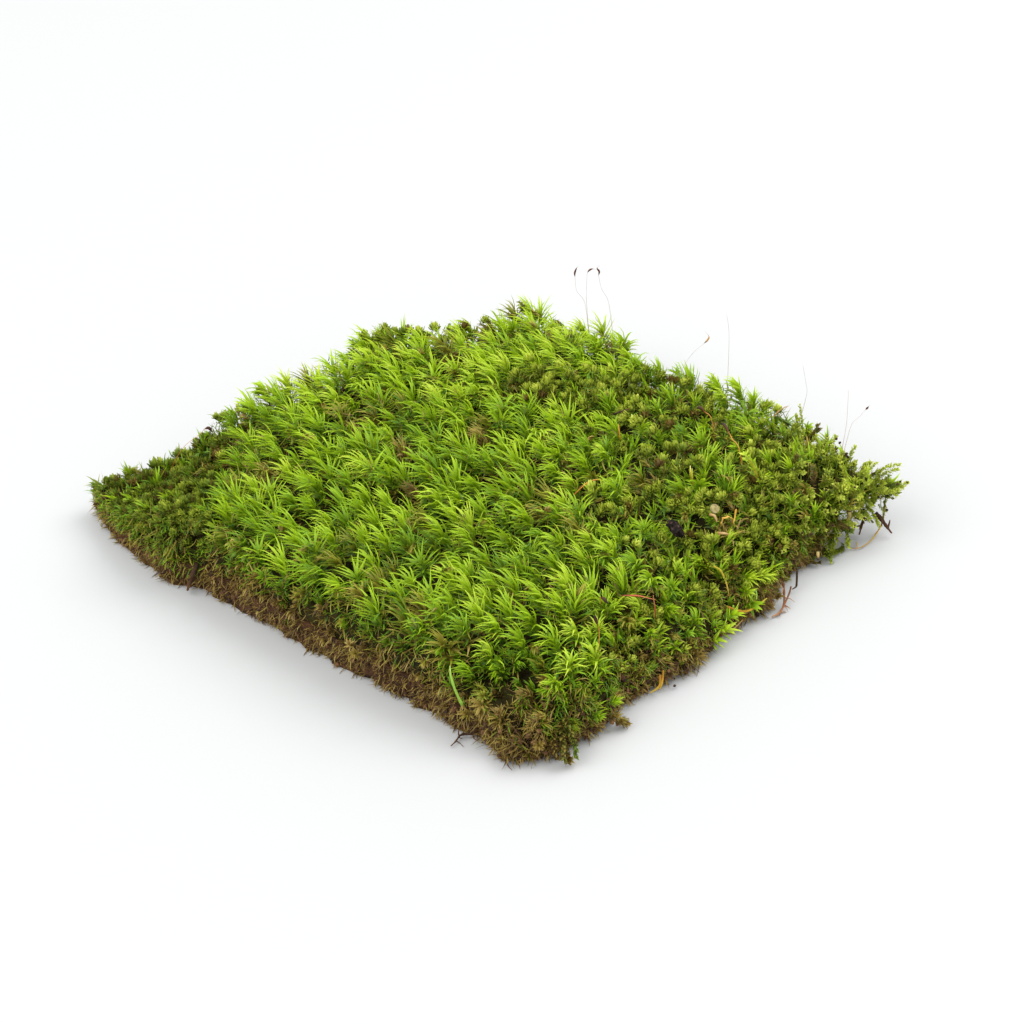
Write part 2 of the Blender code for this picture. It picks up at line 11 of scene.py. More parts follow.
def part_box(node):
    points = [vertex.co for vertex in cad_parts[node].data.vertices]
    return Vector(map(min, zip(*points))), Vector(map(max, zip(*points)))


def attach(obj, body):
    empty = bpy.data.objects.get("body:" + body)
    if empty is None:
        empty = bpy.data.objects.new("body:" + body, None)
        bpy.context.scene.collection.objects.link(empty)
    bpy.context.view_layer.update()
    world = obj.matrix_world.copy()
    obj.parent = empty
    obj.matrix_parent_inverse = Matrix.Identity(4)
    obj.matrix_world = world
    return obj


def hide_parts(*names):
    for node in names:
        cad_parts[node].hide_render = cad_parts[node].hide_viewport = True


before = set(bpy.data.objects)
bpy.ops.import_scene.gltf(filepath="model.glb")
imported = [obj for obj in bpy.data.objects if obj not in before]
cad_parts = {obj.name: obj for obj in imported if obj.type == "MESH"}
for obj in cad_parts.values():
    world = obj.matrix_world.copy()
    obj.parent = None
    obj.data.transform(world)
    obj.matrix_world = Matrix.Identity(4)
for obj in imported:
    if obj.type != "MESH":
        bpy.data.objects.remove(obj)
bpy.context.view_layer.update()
mossNodes = ("broom_moss_turf", "knob_moss_left", "knob_moss_right", "knob_moss_far", "knob_moss_back")
looseNodes = ("bark_crumb", "seed_husk", "curled_leaf")

mm = 0.001
matShift = np.array((0.29, 10.42, 0.0)) * mm  # from the mat's own grid to the frame
up = np.array((0.0, 0.0, 1.0))
goldenTurn = 2.39996  # from one leaf of a spiral to the next, in radians
dice = np.random.default_rng(5)

# the camera, the floor and the light

photoView = {
    "lens": 76.18,
    "sensor": 36,
    "distance": 0.65,
    "azimuth": 44,
    "elevation": 34,
}
studio = {
    "floorSize": 6.0,
    "floorColour": (0.442, 0.442, 0.435),
    "skyColour": (0.95, 0.975, 1.0),
    "skyStrength": 1.28,
    "lampPlace": (0.35, 1.1, 1.5),
    "lampSize": 1.3,
    "lampPower": 27.0,
    "fillPlace": (-0.5, -1.3, 1.3),
    "fillSize": 1.8,
    "fillPower": 32.0,
}


def portion(v):
    return np.clip(v, 0, 1)


def between(pair, share):
    return pair[0] + (pair[1] - pair[0]) * share


def towards(azimuth, elevation):
    # azimuth 0 is the side that faces -Y
    a, e = math.radians(azimuth), math.radians(elevation)
    return Vector((math.sin(a) * math.cos(e), -math.cos(a) * math.cos(e), math.sin(e)))


def makeCamera(v):
    back = towards(v["azimuth"], v["elevation"])
    bpy.ops.object.camera_add(location=Vector(matShift) + back * v["distance"])
    camera = bpy.context.object
    camera.rotation_euler = (-back).to_track_quat("-Z", "Y").to_euler()
    camera.data.lens = v["lens"]
    camera.data.sensor_width = v["sensor"]
    bpy.context.scene.camera = camera


def makeStudio(s):
    bpy.ops.mesh.primitive_plane_add(size=s["floorSize"])
    floor = bpy.context.object
    floor.name = "floor"
    paint = Finish("white_floor")
    grain = paint.node("ShaderNodeTexNoise", {}, {"Scale": 900.0, "Detail": 2.0})
    bump = paint.bump(grain, 0.05, 0.4 * mm)
    paint.cover({"Base Color": (*s["floorColour"], 1), "Roughness": 0.6, "Normal": bump})
    floor.data.materials.append(paint.material)
    for name in ("lamp", "fill"):
        place = Vector(s[name + "Place"])
        bpy.ops.object.light_add(type="AREA", location=place)
        lamp = bpy.context.object
        lamp.name = name
        lamp.rotation_euler = (-place).to_track_quat("-Z", "Y").to_euler()
        lamp.data.size = s[name + "Size"]
        lamp.data.energy = s[name + "Power"]
    world = bpy.data.worlds.new("studio")
    world.use_nodes = True
    sky = world.node_tree.nodes["Background"].inputs
    sky["Color"].default_value = (*s["skyColour"], 1)
    sky["Strength"].default_value = s["skyStrength"]
    bpy.context.scene.world = world
    bpy.context.scene.view_settings.view_transform = "Standard"


# how the finishes are made


def rgb(red, green, blue):
    # a colour as a screen shows it, 0 to 255, as Blender keeps it
    def straight(c):
        c = c / 255
        return c / 12.92 if c <= 0.04045 else ((c + 0.055) / 1.055) ** 2.4

    return (straight(red), straight(green), straight(blue), 1)


class Wire:
    # one output of a node; sums and products of wires add their own Math nodes
    def __init__(self, finish, socket):
        self.finish = finish
        self.socket = socket

    def maths(self, operation, first, second):
        return self.finish.node("ShaderNodeMath", {"operation": operation}, {0: first, 1: second})

    def __add__(self, other):
        return self.maths("ADD", self, other)

    def __mul__(self, other):
        return self.maths("MULTIPLY", self, other)

    def __pow__(self, other):
        return self.maths("POWER", self, other)

    __radd__ = __add__
    __rmul__ = __mul__


objectOutput = 3  # of a Texture Coordinate node


class Finish:
    # a material that is built node by node
    def __init__(self, name):
        self.material = bpy.data.materials.new(name)
        self.material.use_nodes = True
        self.tree = self.material.node_tree
        self.tree.nodes.clear()

    def node(self, kind, settings, values, output=0):
        made = self.tree.nodes.new(kind)
        for key, value in settings.items():
            if key == "stops":
                ramp = made.color_ramp.elements
                while len(ramp) < len(value):
                    ramp.new(1)
                for element, (place, colour) in zip(ramp, value):
                    element.position = place
                    element.color = colour
            else:
                setattr(made, key, value)
        for key, value in values.items():
            if isinstance(value, Wire):
                self.tree.links.new(value.socket, made.inputs[key])
            else:
                made.inputs[key].default_value = value
        return Wire(self, made.outputs[output]) if made.outputs else None

    def ramp(self, factor, stops):
        shown = [(place, rgb(*colour)) for place, colour in stops]
        return self.node("ShaderNodeValToRGB", {"stops": shown}, {0: factor})

    def blend(self, factor, first, second):
        # 0, 6, 7 and 2 are the factor, the two colours and the result of a Mix node
        return self.node("ShaderNodeMix", {"data_type": "RGBA"}, {0: factor, 6: first, 7: second}, 2)

    def noise(self, scale, detail):
        place = self.node("ShaderNodeTexCoord", {}, {}, objectOutput)
        return self.node("ShaderNodeTexNoise", {}, {"Vector": place, "Scale": scale, "Detail": detail})

    def bump(self, height, strength, depth):
        return self.node("ShaderNodeBump", {}, {"Strength": strength, "Distance": depth, "Height": height})

    def leafMap(self):
        # across the map runs the tone of each leaf, up it the way from its foot to its tip
        where = self.node("ShaderNodeUVMap", {"uv_map": "OFBake"}, {})
        split = self.node("ShaderNodeSeparateXYZ", {}, {0: where})
        return split, Wire(self, split.socket.node.outputs[1])

    def glow(self, colour):
        # the light that comes through a leaf, of one colour
        return self.node("ShaderNodeBsdfTranslucent", {}, {"Color": rgb(*colour)})

    def mixed(self, share, first, second):
        return self.node("ShaderNodeMixShader", {}, {0: share, 1: first, 2: second})

    def cover(self, values, through=0, glow=None):
        shader = self.node("ShaderNodeBsdfPrincipled", {}, values)
        if glow:
            shader = self.mixed(through, shader, glow)
        self.node("ShaderNodeOutputMaterial", {}, {"Surface": shader})


def leafFinish(name, tones, roughness, through=0, glows=()):
    # tones: place on the palette, colour at the foot of a leaf, colour at its tip; a darker foot is partly
    # painted shade where the leaves bundle
    # glows: the light that comes through a dead or dark leaf, and through a bright one
    finish = Finish(name)
    tone, along = finish.leafMap()
    foot = finish.ramp(tone, [(place, foot) for place, foot, tip in tones])
    tip = finish.ramp(tone, [(place, tip) for place, foot, tip in tones])
    colour = finish.blend(along**1.1, foot, tip)
    glow = None
    if glows:
        lively = finish.node("ShaderNodeMapRange", {}, {0: tone, 1: 0.25, 2: 0.8, 3: 0.0, 4: 1.0})
        dull, bright = (finish.glow(shown) for shown in glows)
        glow = finish.mixed(lively * (along * 0.7 + 0.3), dull, bright)
    finish.cover({"Base Color": colour, "Roughness": roughness, "Specular IOR Level": 0.3}, through, glow)
    return finish.material


def groundFinish(name, stops, scale, depth, roughness=0.95):
    # crumbly or grained stuff that reads its place
    finish = Finish(name)
    mix = finish.noise(scale, 5.0) * 0.6 + finish.noise(scale * 6, 3.0) * 0.4
    values = {"Base Color": finish.ramp(mix, stops), "Roughness": roughness, "Specular IOR Level": 0.15}
    values["Normal"] = finish.bump(mix, 0.9, depth)
    finish.cover(values)
    return finish.material


def stemFinish(name, stops, roughness, through=0):
    # along a stem, whose map runs from its foot to its end
    finish = Finish(name)
    along, _ = finish.leafMap()
    speck = finish.noise(1500.0, 2.0)
    colour = finish.blend(speck * 0.35, finish.ramp(along, stops), rgb(70, 44, 22))
    glow = finish.glow(stops[len(stops) // 2][1]) if through else None
    finish.cover({"Base Color": colour, "Roughness": roughness, "Specular IOR Level": 0.25}, through, glow)
    return finish.material


# how the leaves are made


def selectVerts(thing, wanted):
    # leaves edit mode on, with just the wanted points selected
    bpy.context.view_layer.objects.active = thing
    bpy.ops.object.mode_set(mode="OBJECT")
    for face in thing.data.polygons:
        face.select = False
    for edge in thing.data.edges:
        edge.select = False
    for vert in thing.data.vertices:
        vert.select = wanted(vert.co)
    bpy.ops.object.mode_set(mode="EDIT")
    bpy.ops.mesh.select_mode(type="VERT")


def readMesh(thing):
    # the points and the triangles of a mesh, as arrays
    mesh = thing.data
    points = np.empty(len(mesh.vertices) * 3, np.float32)
    mesh.vertices.foreach_get("co", points)
    mesh.calc_loop_triangles()
    faces = np.empty(len(mesh.loop_triangles) * 3, np.int32)
    mesh.loop_triangles.foreach_get("vertices", faces)
    return points.reshape(-1, 3).astype(float), faces.reshape(-1, 3)


def startShape(name, add, **values):
    bpy.ops.object.select_all(action="DESELECT")
    add(**values)
    piece = bpy.context.object
    piece.name = name
    return piece


def modelLeaf(columns, widths, keel):
    # a leaf one unit long, from y 0 to 1: tapered row by row, with its midrib pressed down
    rows = len(widths) - 1
    grid = {"x_subdivisions": columns, "y_subdivisions": rows, "size": 1, "location": (0, 0.5, 0)}
    leaf = startShape("leaf", bpy.ops.mesh.primitive_grid_add, **grid)
    bpy.ops.object.transform_apply(location=True)
    for row, width in enumerate(widths):
        selectVerts(leaf, lambda co: abs(co.y - row / rows) < 0.01)
        bpy.ops.transform.resize(value=(max(width, 0.001), 1, 1), center_override=(0, 0, 0))
    if widths[-1] == 0:
        bpy.ops.mesh.merge(type="CENTER")
    if keel:
        selectVerts(leaf, lambda co: abs(co.x) < 0.01)
        bpy.ops.transform.translate(value=(0, 0, -keel))
    bpy.ops.object.mode_set(mode="OBJECT")
    points, faces = readMesh(leaf)
    bpy.data.objects.remove(leaf)
    return {"across": points[:, 0], "along": points[:, 1], "lift": points[:, 2], "faces": faces}


def modelLump(rough):
    # a broken crumb, one unit across
    lump = startShape("lump", bpy.ops.mesh.primitive_ico_sphere_add, subdivisions=1, radius=0.5)
    for face in range(0, 12, 3):
        selectVerts(lump, lambda co, turn=face: co.x * math.cos(turn) + co.y * math.sin(turn) > 0.2)
        bpy.ops.transform.resize(value=(1, 1, 1 + rough * math.sin(face * 5)), center_override=(0, 0, 0.1))
    bpy.ops.object.mode_set(mode="OBJECT")
    points, faces = readMesh(lump)
    bpy.data.objects.remove(lump)
    return points, faces


# each leaf is modelled once: its columns, its width row by row, and how deep its midrib is
leafShapes = {
    "blade": modelLeaf(2, (0.7, 1.0, 0.78, 0.42, 0), 0.22),
    "strip": modelLeaf(1, (0.7, 1.0, 0.78, 0.42, 0), 0),
    "knobLeaflet": modelLeaf(2, (0.7, 1.0, 0.78, 0.18), 0.28),
    "crisp": modelLeaf(1, (0.7, 1.0, 0.7, 0), 0),
    "dead": modelLeaf(1, (0.8, 1.0, 0.6, 0), 0),
    "thread": modelLeaf(1, (1.2, 1.0, 0.9, 0.8, 0.6, 0.4, 0), 0),
}
budLump = modelLump(0.2)
crumbLump = modelLump(0.25)


def unit(v):
    return v / np.maximum(np.linalg.norm(v, axis=-1, keepdims=True), 1e-9)


def around(axis, turn):
    # the ways out from an axis, at these turns round it
    one = unit(np.cross(axis, np.array((0.31, -0.77, 0.2))))
    return one * np.cos(turn)[:, None] + np.cross(axis, one) * np.sin(turn)[:, None]


class Heap:
    # copies of small modelled shapes, each with its own place and bend, joined into one mesh
    def __init__(self):
        self.points = []
        self.faces = []
        self.maps = []
        self.count = 0

    def add(self, points, faces, maps):
        # points and maps: one row for each copy
        number, size = points.shape[:2]
        moved = faces[None] + (np.arange(number) * size)[:, None, None] + self.count
        self.points.append(points.reshape(-1, 3))
        self.faces.append(moved.reshape(-1, 3))
        self.maps.append(maps.reshape(-1, 2))
        self.count += number * size

    def addLump(self, lump, spot, size, stretch, tone):
        points, faces = lump
        self.add((points * size * stretch + spot)[None], faces, np.full((1, len(points), 2), tone))

    def grow(self, kind, root, first, target, bend, length, width, tone, axis=up):
        # leaves that leave their roots along first and turn towards target, their upper side towards the axis
        leaf = leafShapes[kind]
        face = unit(axis - first * (axis * first).sum(1, keepdims=True))
        stations, which = np.unique(np.round(leaf["along"], 4), return_inverse=True)
        which = which.reshape(-1)
        angle = np.arccos(np.clip((first * target).sum(1), -0.999, 0.999))[:, None]

        def heading(at):
            share = bend[:, None] * at[None, :] ** 1.3
            a = np.sin((1 - share) * angle) / np.sin(angle)
            b = np.sin(share * angle) / np.sin(angle)
            return unit(a[..., None] * first[:, None] + b[..., None] * target[:, None])

        middles = (stations[1:] + stations[:-1]) / 2
        steps = heading(middles) * (np.diff(stations)[None, :, None] * length[:, None, None])
        line = np.concatenate([root[:, None], root[:, None] + np.cumsum(steps, axis=1)], axis=1)
        ahead = heading(stations)
        side = unit(np.cross(first, face))[:, None]
        side = unit(side - (side * ahead).sum(-1, keepdims=True) * ahead)
        over = np.cross(side, ahead)
        across = (leaf["across"][None, :] * width[:, None])[..., None]
        lift = (leaf["lift"][None, :] * width[:, None])[..., None]
        points = line[:, which] + side[:, which] * across + over[:, which] * lift
        # a little inside the edges of the map, with the two sides of a leaf apart on it
        tones = np.clip(tone[:, None] + leaf["across"][None, :] * 0.01, 0.006, 0.994)
        alongs = np.broadcast_to(0.02 + 0.96 * leaf["along"][None, :], tones.shape)
        self.add(points, leaf["faces"], np.stack([tones, alongs], axis=-1))

    def makePiece(self, name, material, slot, nodes=(), smooth=True):
        points = np.concatenate(self.points)
        points[:, 2] = np.maximum(points[:, 2], 0.2 * mm)  # nothing goes through the floor
        faces = np.concatenate(self.faces)
        maps = np.concatenate(self.maps)
        mesh = bpy.data.meshes.new(name)
        mesh.vertices.add(len(points))
        mesh.vertices.foreach_set("co", points.ravel())
        mesh.loops.add(faces.size)
        mesh.loops.foreach_set("vertex_index", faces.ravel())
        mesh.polygons.add(len(faces))
        mesh.polygons.foreach_set("loop_start", np.arange(0, faces.size, 3))
        mesh.polygons.foreach_set("use_smooth", np.full(len(faces), smooth))
        layer = mesh.uv_layers.new(name="OFBake")
        layer.data.foreach_set("uv", maps[faces.ravel()].astype(np.float32).ravel())
        mesh.update(calc_edges=True)
        mesh.validate()
        piece = bpy.data.objects.new(name, mesh)
        bpy.context.collection.objects.link(piece)
        settle(piece, material, nodes)
        print(name, len(faces), "triangles")


def settle(piece, material, nodes=()):
    # gives a piece its finish, its body and the nodes that it stands in for
    piece.data.materials.clear()
    piece.data.materials.append(material)
    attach(piece, "root")
    if nodes:
        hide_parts(*nodes)


# the ground that the moss grows on


def welded(node):
    # the points and triangles of a node, its doubles merged
    points, faces = readMesh(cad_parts[node])
    points, index = np.unique(np.round(points, 6), axis=0, return_inverse=True)
    return points, index.reshape(-1)[faces]


class Ground:
    # the outer surface of some solids, to look up and to scatter on
    def __init__(self, nodes):
        points, faces, first = [], [], 0
        for node in nodes:
            spots, corners = welded(node)
            points.append(spots)
            faces.append(corners + first)
            first += len(spots)
        self.points = np.concatenate(points)
        self.faces = np.concatenate(faces)
        self.tree = BVHTree.FromPolygons(self.points.tolist(), self.faces.tolist())
        a, b, c = (self.points[self.faces[:, k]] for k in range(3))
        cross = np.cross(b - a, c - a)
        self.areas = np.linalg.norm(cross, axis=1) / 2
        self.normals = unit(cross)

    def height(self, x, y):
        hit = self.tree.ray_cast(Vector((x, y, 0.1)), Vector((0, 0, -1)))[0]
        return hit.z if hit else None

    def scatter(self, count, wanted, below=1.0):
        lowEnough = self.points[self.faces][:, :, 2].mean(1) < below
        chosen = np.flatnonzero(wanted(self.normals) & lowEnough)
        share = self.areas[chosen] / self.areas[chosen].sum()
        picked = dice.choice(chosen, count, p=share)
        u, v = dice.random((2, count, 1))
        flip = u + v > 1
        u, v = np.where(flip, 1 - u, u), np.where(flip, 1 - v, v)
        a, b, c = (self.points[self.faces[picked, k]] for k in range(3))
        return a + (b - a) * u + (c - a) * v, self.normals[picked]

    def openWall(self, count, below=1.0):
        # points on the outer side walls, not on those between two kinds of moss
        spots, normals = self.scatter(count, lambda n: np.abs(n[:, 2]) < 0.5, below)
        free = []
        for spot, normal in zip(spots, normals):
            start = Vector(spot + normal * 0.05 * mm)
            free.append(self.tree.ray_cast(start, Vector(normal), 6 * mm)[0] is None)
        free = np.array(free)
        return spots[free], normals[free]


class Rim:
    # how far a place is from the nearest open wall, and which way is out there
    samples = 5000
    neighbours = 14

    def __init__(self, ground):
        self.spots, self.normals = ground.openWall(self.samples)
        self.tree = KDTree(len(self.spots))
        for number, spot in enumerate(self.spots):
            self.tree.insert((spot[0], spot[1], 0), number)
        self.tree.balance()

    def near(self, x, y):
        found = self.tree.find_n((x, y, 0), self.neighbours)
        out = sum(self.normals[number] for _, number, _ in found) * (1, 1, 0)
        return found[0][2], unit(out)


lowestTuft = 8 * mm


def tuftTips(node):
    # the points of a solid that stand higher than all beside them
    points, faces = welded(node)
    beside = np.full(len(points), -1.0)
    for a, b in ((0, 1), (1, 2), (2, 0)):
        np.maximum.at(beside, faces[:, a], points[faces[:, b], 2])
        np.maximum.at(beside, faces[:, b], points[faces[:, a], 2])
    return points[(points[:, 2] > beside) & (points[:, 2] > lowestTuft)]


def spacedOut(spots, gap, taken=(), axes=2):
    # the numbers of the points that are at least this far apart, on plan or with 3 axes in space
    beside = list(itertools.product((-1, 0, 1), repeat=axes))
    cells, kept = {}, []
    for number, spot in enumerate([*taken, *spots]):
        place = spot[:axes].tolist()
        key = [int(c // gap) for c in place]
        near = [p for step in beside for p in cells.get(tuple(map(sum, zip(key, step))), ())]
        if number < len(taken) or all(math.dist(p, place) > gap for p in near):
            cells.setdefault(tuple(key), []).append(place)
            if number >= len(taken):
                kept.append(number - len(taken))
    return kept


def patch(x, y, size, seed):
    # what differs from place to place, smoothly, about -0.5 to 0.5
    return noise.noise(Vector((x / size, y / size, seed)))


def onMat(x, y, z=0.0):
    # a place in the mat's own millimetres, as the frame has it
    return np.array((x, y, z)) * mm + matShift


def turned(v, angle):
    c, s = math.cos(angle), math.sin(angle)
    return np.array((v[0] * c - v[1] * s, v[0] * s + v[1] * c))


# each pair holds for most of the mat, and for its right corner
thatch = {
    "rim": 2 * mm,  # what is this close to a wall is drawn in
    "drawnIn": (1.6 * mm, 5.0 * mm),
    "floor": (8.3 * mm, 17.0 * mm),  # the height that the tops come down towards
    "from": 8 * mm,  # what is lower keeps its height
    "keep": 0.5,  # the part of its height over the floor that a top keeps
    "cornerWidth": 24 * mm,
}


def pressDown(node, rim, material):
    # the thatch under the leaves, darkened in part as painted shade: a copy of the solid, lower and drawn in
    bpy.ops.object.select_all(action="DESELECT")
    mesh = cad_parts[node].data.copy()
    piece = bpy.data.objects.new(node + "_thatch", mesh)
    bpy.context.collection.objects.link(piece)
    selectVerts(piece, lambda co: True)
    bpy.ops.mesh.remove_doubles(threshold=0.00002)
    bpy.ops.object.mode_set(mode="OBJECT")
    for vert in mesh.vertices:
        gap, out = rim.near(vert.co.x, vert.co.y)
        corner = portion((vert.co.x + vert.co.y - sprig["from"]) / thatch["cornerWidth"])
        if gap < thatch["rim"]:
            vert.co -= Vector(out) * between(thatch["drawnIn"], corner)
        if vert.co.z > thatch["from"]:
            floor = between(thatch["floor"], corner)
            vert.co.z = floor + (vert.co.z - floor) * thatch["keep"]
    settle(piece, material)


# how far a place is to the right and to the back of the photo
def toRight(x, y):
    return x * 0.72 + y * 0.69


def toBack(x, y):
    return y * 0.72 - x * 0.69


def atLeftCorner(x, y):
    # 0 on most of the mat, 1 at its left corner
    return portion((-108 * mm - x - y) / (8 * mm))


# where knob moss comes in among the broom moss: its line, and the width over which it thickens
mixedFrom = {
    "right": (22 * mm, 20 * mm),
    "edge": (62 * mm, 14 * mm),
    "edgeFront": (-46 * mm, 12 * mm),
    "back": (33 * mm, 12 * mm),
}


def past(place, line):
    start, width = mixedFrom[line]
    return portion((place - start) / width)


def knobShare(x, y):
    # how much knob moss stands among the broom moss: most in the right half of the mat and at its left corner
    right = past(toRight(x, y), "right")
    edge = past(x, "edge") * past(y, "edgeFront")
    back = past(toBack(x, y), "back")
    middle = 0.5 + 0.9 * patch(x, y, 0.014, 12.0)
    share = max(right, edge * 0.8) * middle * (1 - 0.7 * back)
    return np.clip(max(share, 0.8 * atLeftCorner(x, y)), 0, 0.85)


# broom moss: shoots with long swept leaves

broom = {
    "lean": (-0.72, -0.69),
    "leanTurn": 0.5,
    "rise": (4.0, 8.5),
    "stem": 12 * mm,
    "nod": 0.26,
    "leaves": 38,
    "leafLength": 8.2 * mm,
    "leafWidth": 0.84 * mm,
    "spread": (50, 16),
    "bend": (0.68, 1.0),
    "hang": (-1.3, 0.1),
    "star": (0.05, 0.35),  # 0 all leaves hang one way, 1 they stand out all round
    "wideStar": (0.5, 0.9),
    "starShare": 0.12,
    "fullHeight": 26 * mm,  # where shoots have their full size
    "sizes": (0.82, 1.14),
    "sunk": 2.2 * mm,  # how much lower a dead shoot stands than its neighbours
    "leftUpTo": -30 * mm,  # the shoots are three pieces, which end here from left to right
    "middleUpTo": 16 * mm,
    "lowSize": 0.66,
    "lowFullHeight": 22 * mm,
    "lowGap": 5.0 * mm,
    "lowDepth": (-4.4, -0.8),
    "rimHeight": 19 * mm,  # what is lower is taken for the rim
    "rimGap": 3.0 * mm,
    "rimDepth": (-0.8, 1.4),
    "smallGap": 4.4 * mm,  # the short upright shoots among the knob moss
    "smallSize": (0.5, 0.76),
    "tanShare": 0.02,
    "oliveShare": 0.08,
    "outwards": 6 * mm,
}
lowBroom = dict(broom, leaves=24)
smallBroom = dict(broom, leaves=18)
# places on the palette of the broom leaf
broomTones = {
    "brownPatch": (0.08, 0.22),
    "dead": (0.04, 0.24),
    "tan": (0.14, 0.25),
    "olive": (0.31, 0.39),
    "green": 0.69,
    "backBrighter": 0.12,
    "rightBrighter": 0.08,
    "cornerDarker": 0.16,
    "old": 0.12,  # the oldest leaves of a dead shoot, deep in its tuft
    "oldAndShadedOnGreen": (0.42, 0.2),  # and of a green one, which keeps the first of these more often: dark green, partly painted shade deep in the tuft, and golden
}
rightEdge = 72 * mm
# how close moss comes to a loose bit before it stays lower, and how much lower
shootClearance = (3.5 * mm, 1.5 * mm)
headClearance = (1.5 * mm, 0.4 * mm)
# how high a wall is dead, in millimetres; right, back and front are what comes off the most on those walls
deadEdge = {"most": 19, "right": 11, "back": 10, "front": 2, "least": 6, "leftCorner": 5.5}
# where dead shoots stand together: place on the mat and reach, in millimetres
brownPatches = [(-1.4, -38.2, 6), (34.5, -24.5, 5), (-64, -46.3, 5), (2.5, -20, 4), (-52, 22, 5)]


def addShoot(heap, kind, tip, way, hang, habit, tone, size, bend, star):
    # a stem that nods towards hang below the tip, with leaves in a spiral that arch over the same way
    count = habit["leaves"]
    way, hang = unit(way), unit(hang)
    length = habit["leafLength"] * size
    flat = unit(hang * (1, 1, 0))
    apex = tip - up * length * (0.4 - 0.1 * star) - flat * length * 0.3 * (1 - star)
    s = 0.35 + 0.65 * (np.arange(count) / (count - 1)) ** 0.8
    nod = habit["nod"] * (1 - star)
    axis = unit(way + (hang + up * 0.5) * nod * s[:, None] ** 3)
    steps = axis * np.diff(s, append=1.0)[:, None] * habit["stem"] * size
    stem = apex - np.cumsum(steps[::-1], axis=0)[::-1]
    turn = np.arange(count) * goldenTurn + dice.random() * math.tau + dice.normal(0, 0.25, count)
    radial = around(axis, turn)
    wide, narrow = habit["spread"]
    opened = 1 + 1.2 * star
    spread = np.radians((wide + (narrow - wide) * s**2) * opened + dice.normal(0, 5, count))[:, None]
    first = axis * np.cos(spread) + radial * np.sin(spread)
    target = unit(hang * (1 - star) + (radial + way * 0.4) * star + dice.normal(0, 0.14, (count, 3)))
    bends = np.clip(bend * dice.uniform(0.75, 1.15, count) * (1 - 0.3 * star), 0.05, 0.99)
    lengths = length * (0.7 + 0.3 * s) * dice.uniform(0.8, 1.1, count)
    widths = habit["leafWidth"] * (0.6 + 0.4 * size) * dice.uniform(0.8, 1.1, count)
    # the lowest leaves take an old tone; on a green shoot its dark green is partly painted shade deep in the
    # tuft
    shaded = broomTones["old"]
    if tone > 0.3:
        shaded = broomTones["oldAndShadedOnGreen"][0 if dice.random() < 0.62 else 1]
    agedAndShaded = portion((0.75 - s) / 0.35)
    tones = tone + (shaded - tone) * agedAndShaded + dice.normal(0, 0.03, count)
    heap.grow(kind, stem, first, target, bends, lengths, widths, tones, axis)


def broomWay(x, y, z, rim):
    # the way a shoot stands and the way its leaves hang: one way all over, outwards at the rim
    mixed = min(knobShare(x, y) / 0.4, 1)
    lean = turned(broom["lean"], dice.normal(0, broom["leanTurn"] + 0.9 * mixed))
    gap, out = rim.near(x, y)
    share = portion(1 - gap / broom["outwards"])
    low = portion(1.25 - z / (20 * mm))
    pull = share * (0.5 + 1.4 * low)
    rise = dice.uniform(*broom["rise"]) * (1 - 0.5 * share * low)
    way = np.array((*lean, rise)) + out * pull
    hang = np.array((*lean, dice.uniform(*broom["hang"]))) + out * pull * 0.9 - up * share * low * 0.5
    return way, hang


def deadHeight(x, y, out):
    # less at the right, at the back and at the left corner than on the other walls
    east, north = out[0], out[1]
    high = deadEdge["most"] - deadEdge["right"] * max(east, 0) - deadEdge["back"] * max(north, 0)
    high = np.clip(high + deadEdge["front"] * min(north, 0), deadEdge["least"], deadEdge["most"])
    return (high + (deadEdge["leftCorner"] - high) * atLeftCorner(x, y)) * mm


def broomTone(x, y, z, rim):
    for patchX, patchY, reach in brownPatches:
        place = onMat(patchX, patchY)
        if math.hypot(x - place[0], y - place[1]) < reach * mm * dice.uniform(0.5, 1.1):
            return dice.uniform(*broomTones["brownPatch"])
    gap, out = rim.near(x, y)
    if gap < 10 * mm and z < deadHeight(x, y, out) * dice.uniform(0.75, 1.1):
        return dice.uniform(*broomTones["dead"])
    roll = dice.random()
    low = portion(1 - z / (18 * mm)) * (1 - 0.7 * atLeftCorner(x, y))
    if roll < broom["tanShare"] + 0.2 * low:
        return dice.uniform(*broomTones["tan"])
    if roll < broom["tanShare"] + broom["oliveShare"] + 0.4 * low:
        return dice.uniform(*broomTones["olive"])
    brighter = broomTones["rightBrighter"] if x > rightEdge else 0
    if toBack(x, y) > mixedFrom["back"][0]:
        brighter = broomTones["backBrighter"]
    middle = broomTones["green"] + brighter - broomTones["cornerDarker"] * atLeftCorner(x, y)
    return np.clip(middle + 0.22 * patch(x, y, 0.02, 3.0) + dice.normal(0, 0.09), 0.45, 0.97)


def growTufts(tips, rim, material):
    # a shoot at each tip of the solid; gives back the tips that it leaves to the heads of knob moss
    heaps = {"left": Heap(), "middle": Heap(), "right": Heap()}
    knobSpots = []
    for tip in tips:
        x, y, z = tip
        if dice.random() < knobShare(x, y):
            knobSpots.append(tip)
            continue
        across = toRight(x, y)
        part = "left" if across < broom["leftUpTo"] else "middle" if across < broom["middleUpTo"] else "right"
        way, hang = broomWay(x, y, z, rim)
        star = dice.uniform(*broom["wideStar" if dice.random() < broom["starShare"] else "star"])
        size = np.clip(z / broom["fullHeight"], 0.62, 1.0) * dice.uniform(*broom["sizes"])
        size *= 1 - 0.3 * min(knobShare(x, y) / 0.4, 1)
        tone = broomTone(x, y, z, rim)
        if tone < 0.25 and z > 16 * mm:  # a dead shoot has sunk between its neighbours
            tip = tip - up * broom["sunk"]
            size *= 0.78
        tip = underLoose(tip, *shootClearance)
        bend = dice.uniform(*broom["bend"])
        addShoot(heaps[part], "blade", tip, way, hang, broom, tone, size, bend, star)
    for part, heap in heaps.items():
        heap.makePiece("broom_shoots_" + part, material, "broom_moss", ["broom_moss_turf"])
    return knobSpots


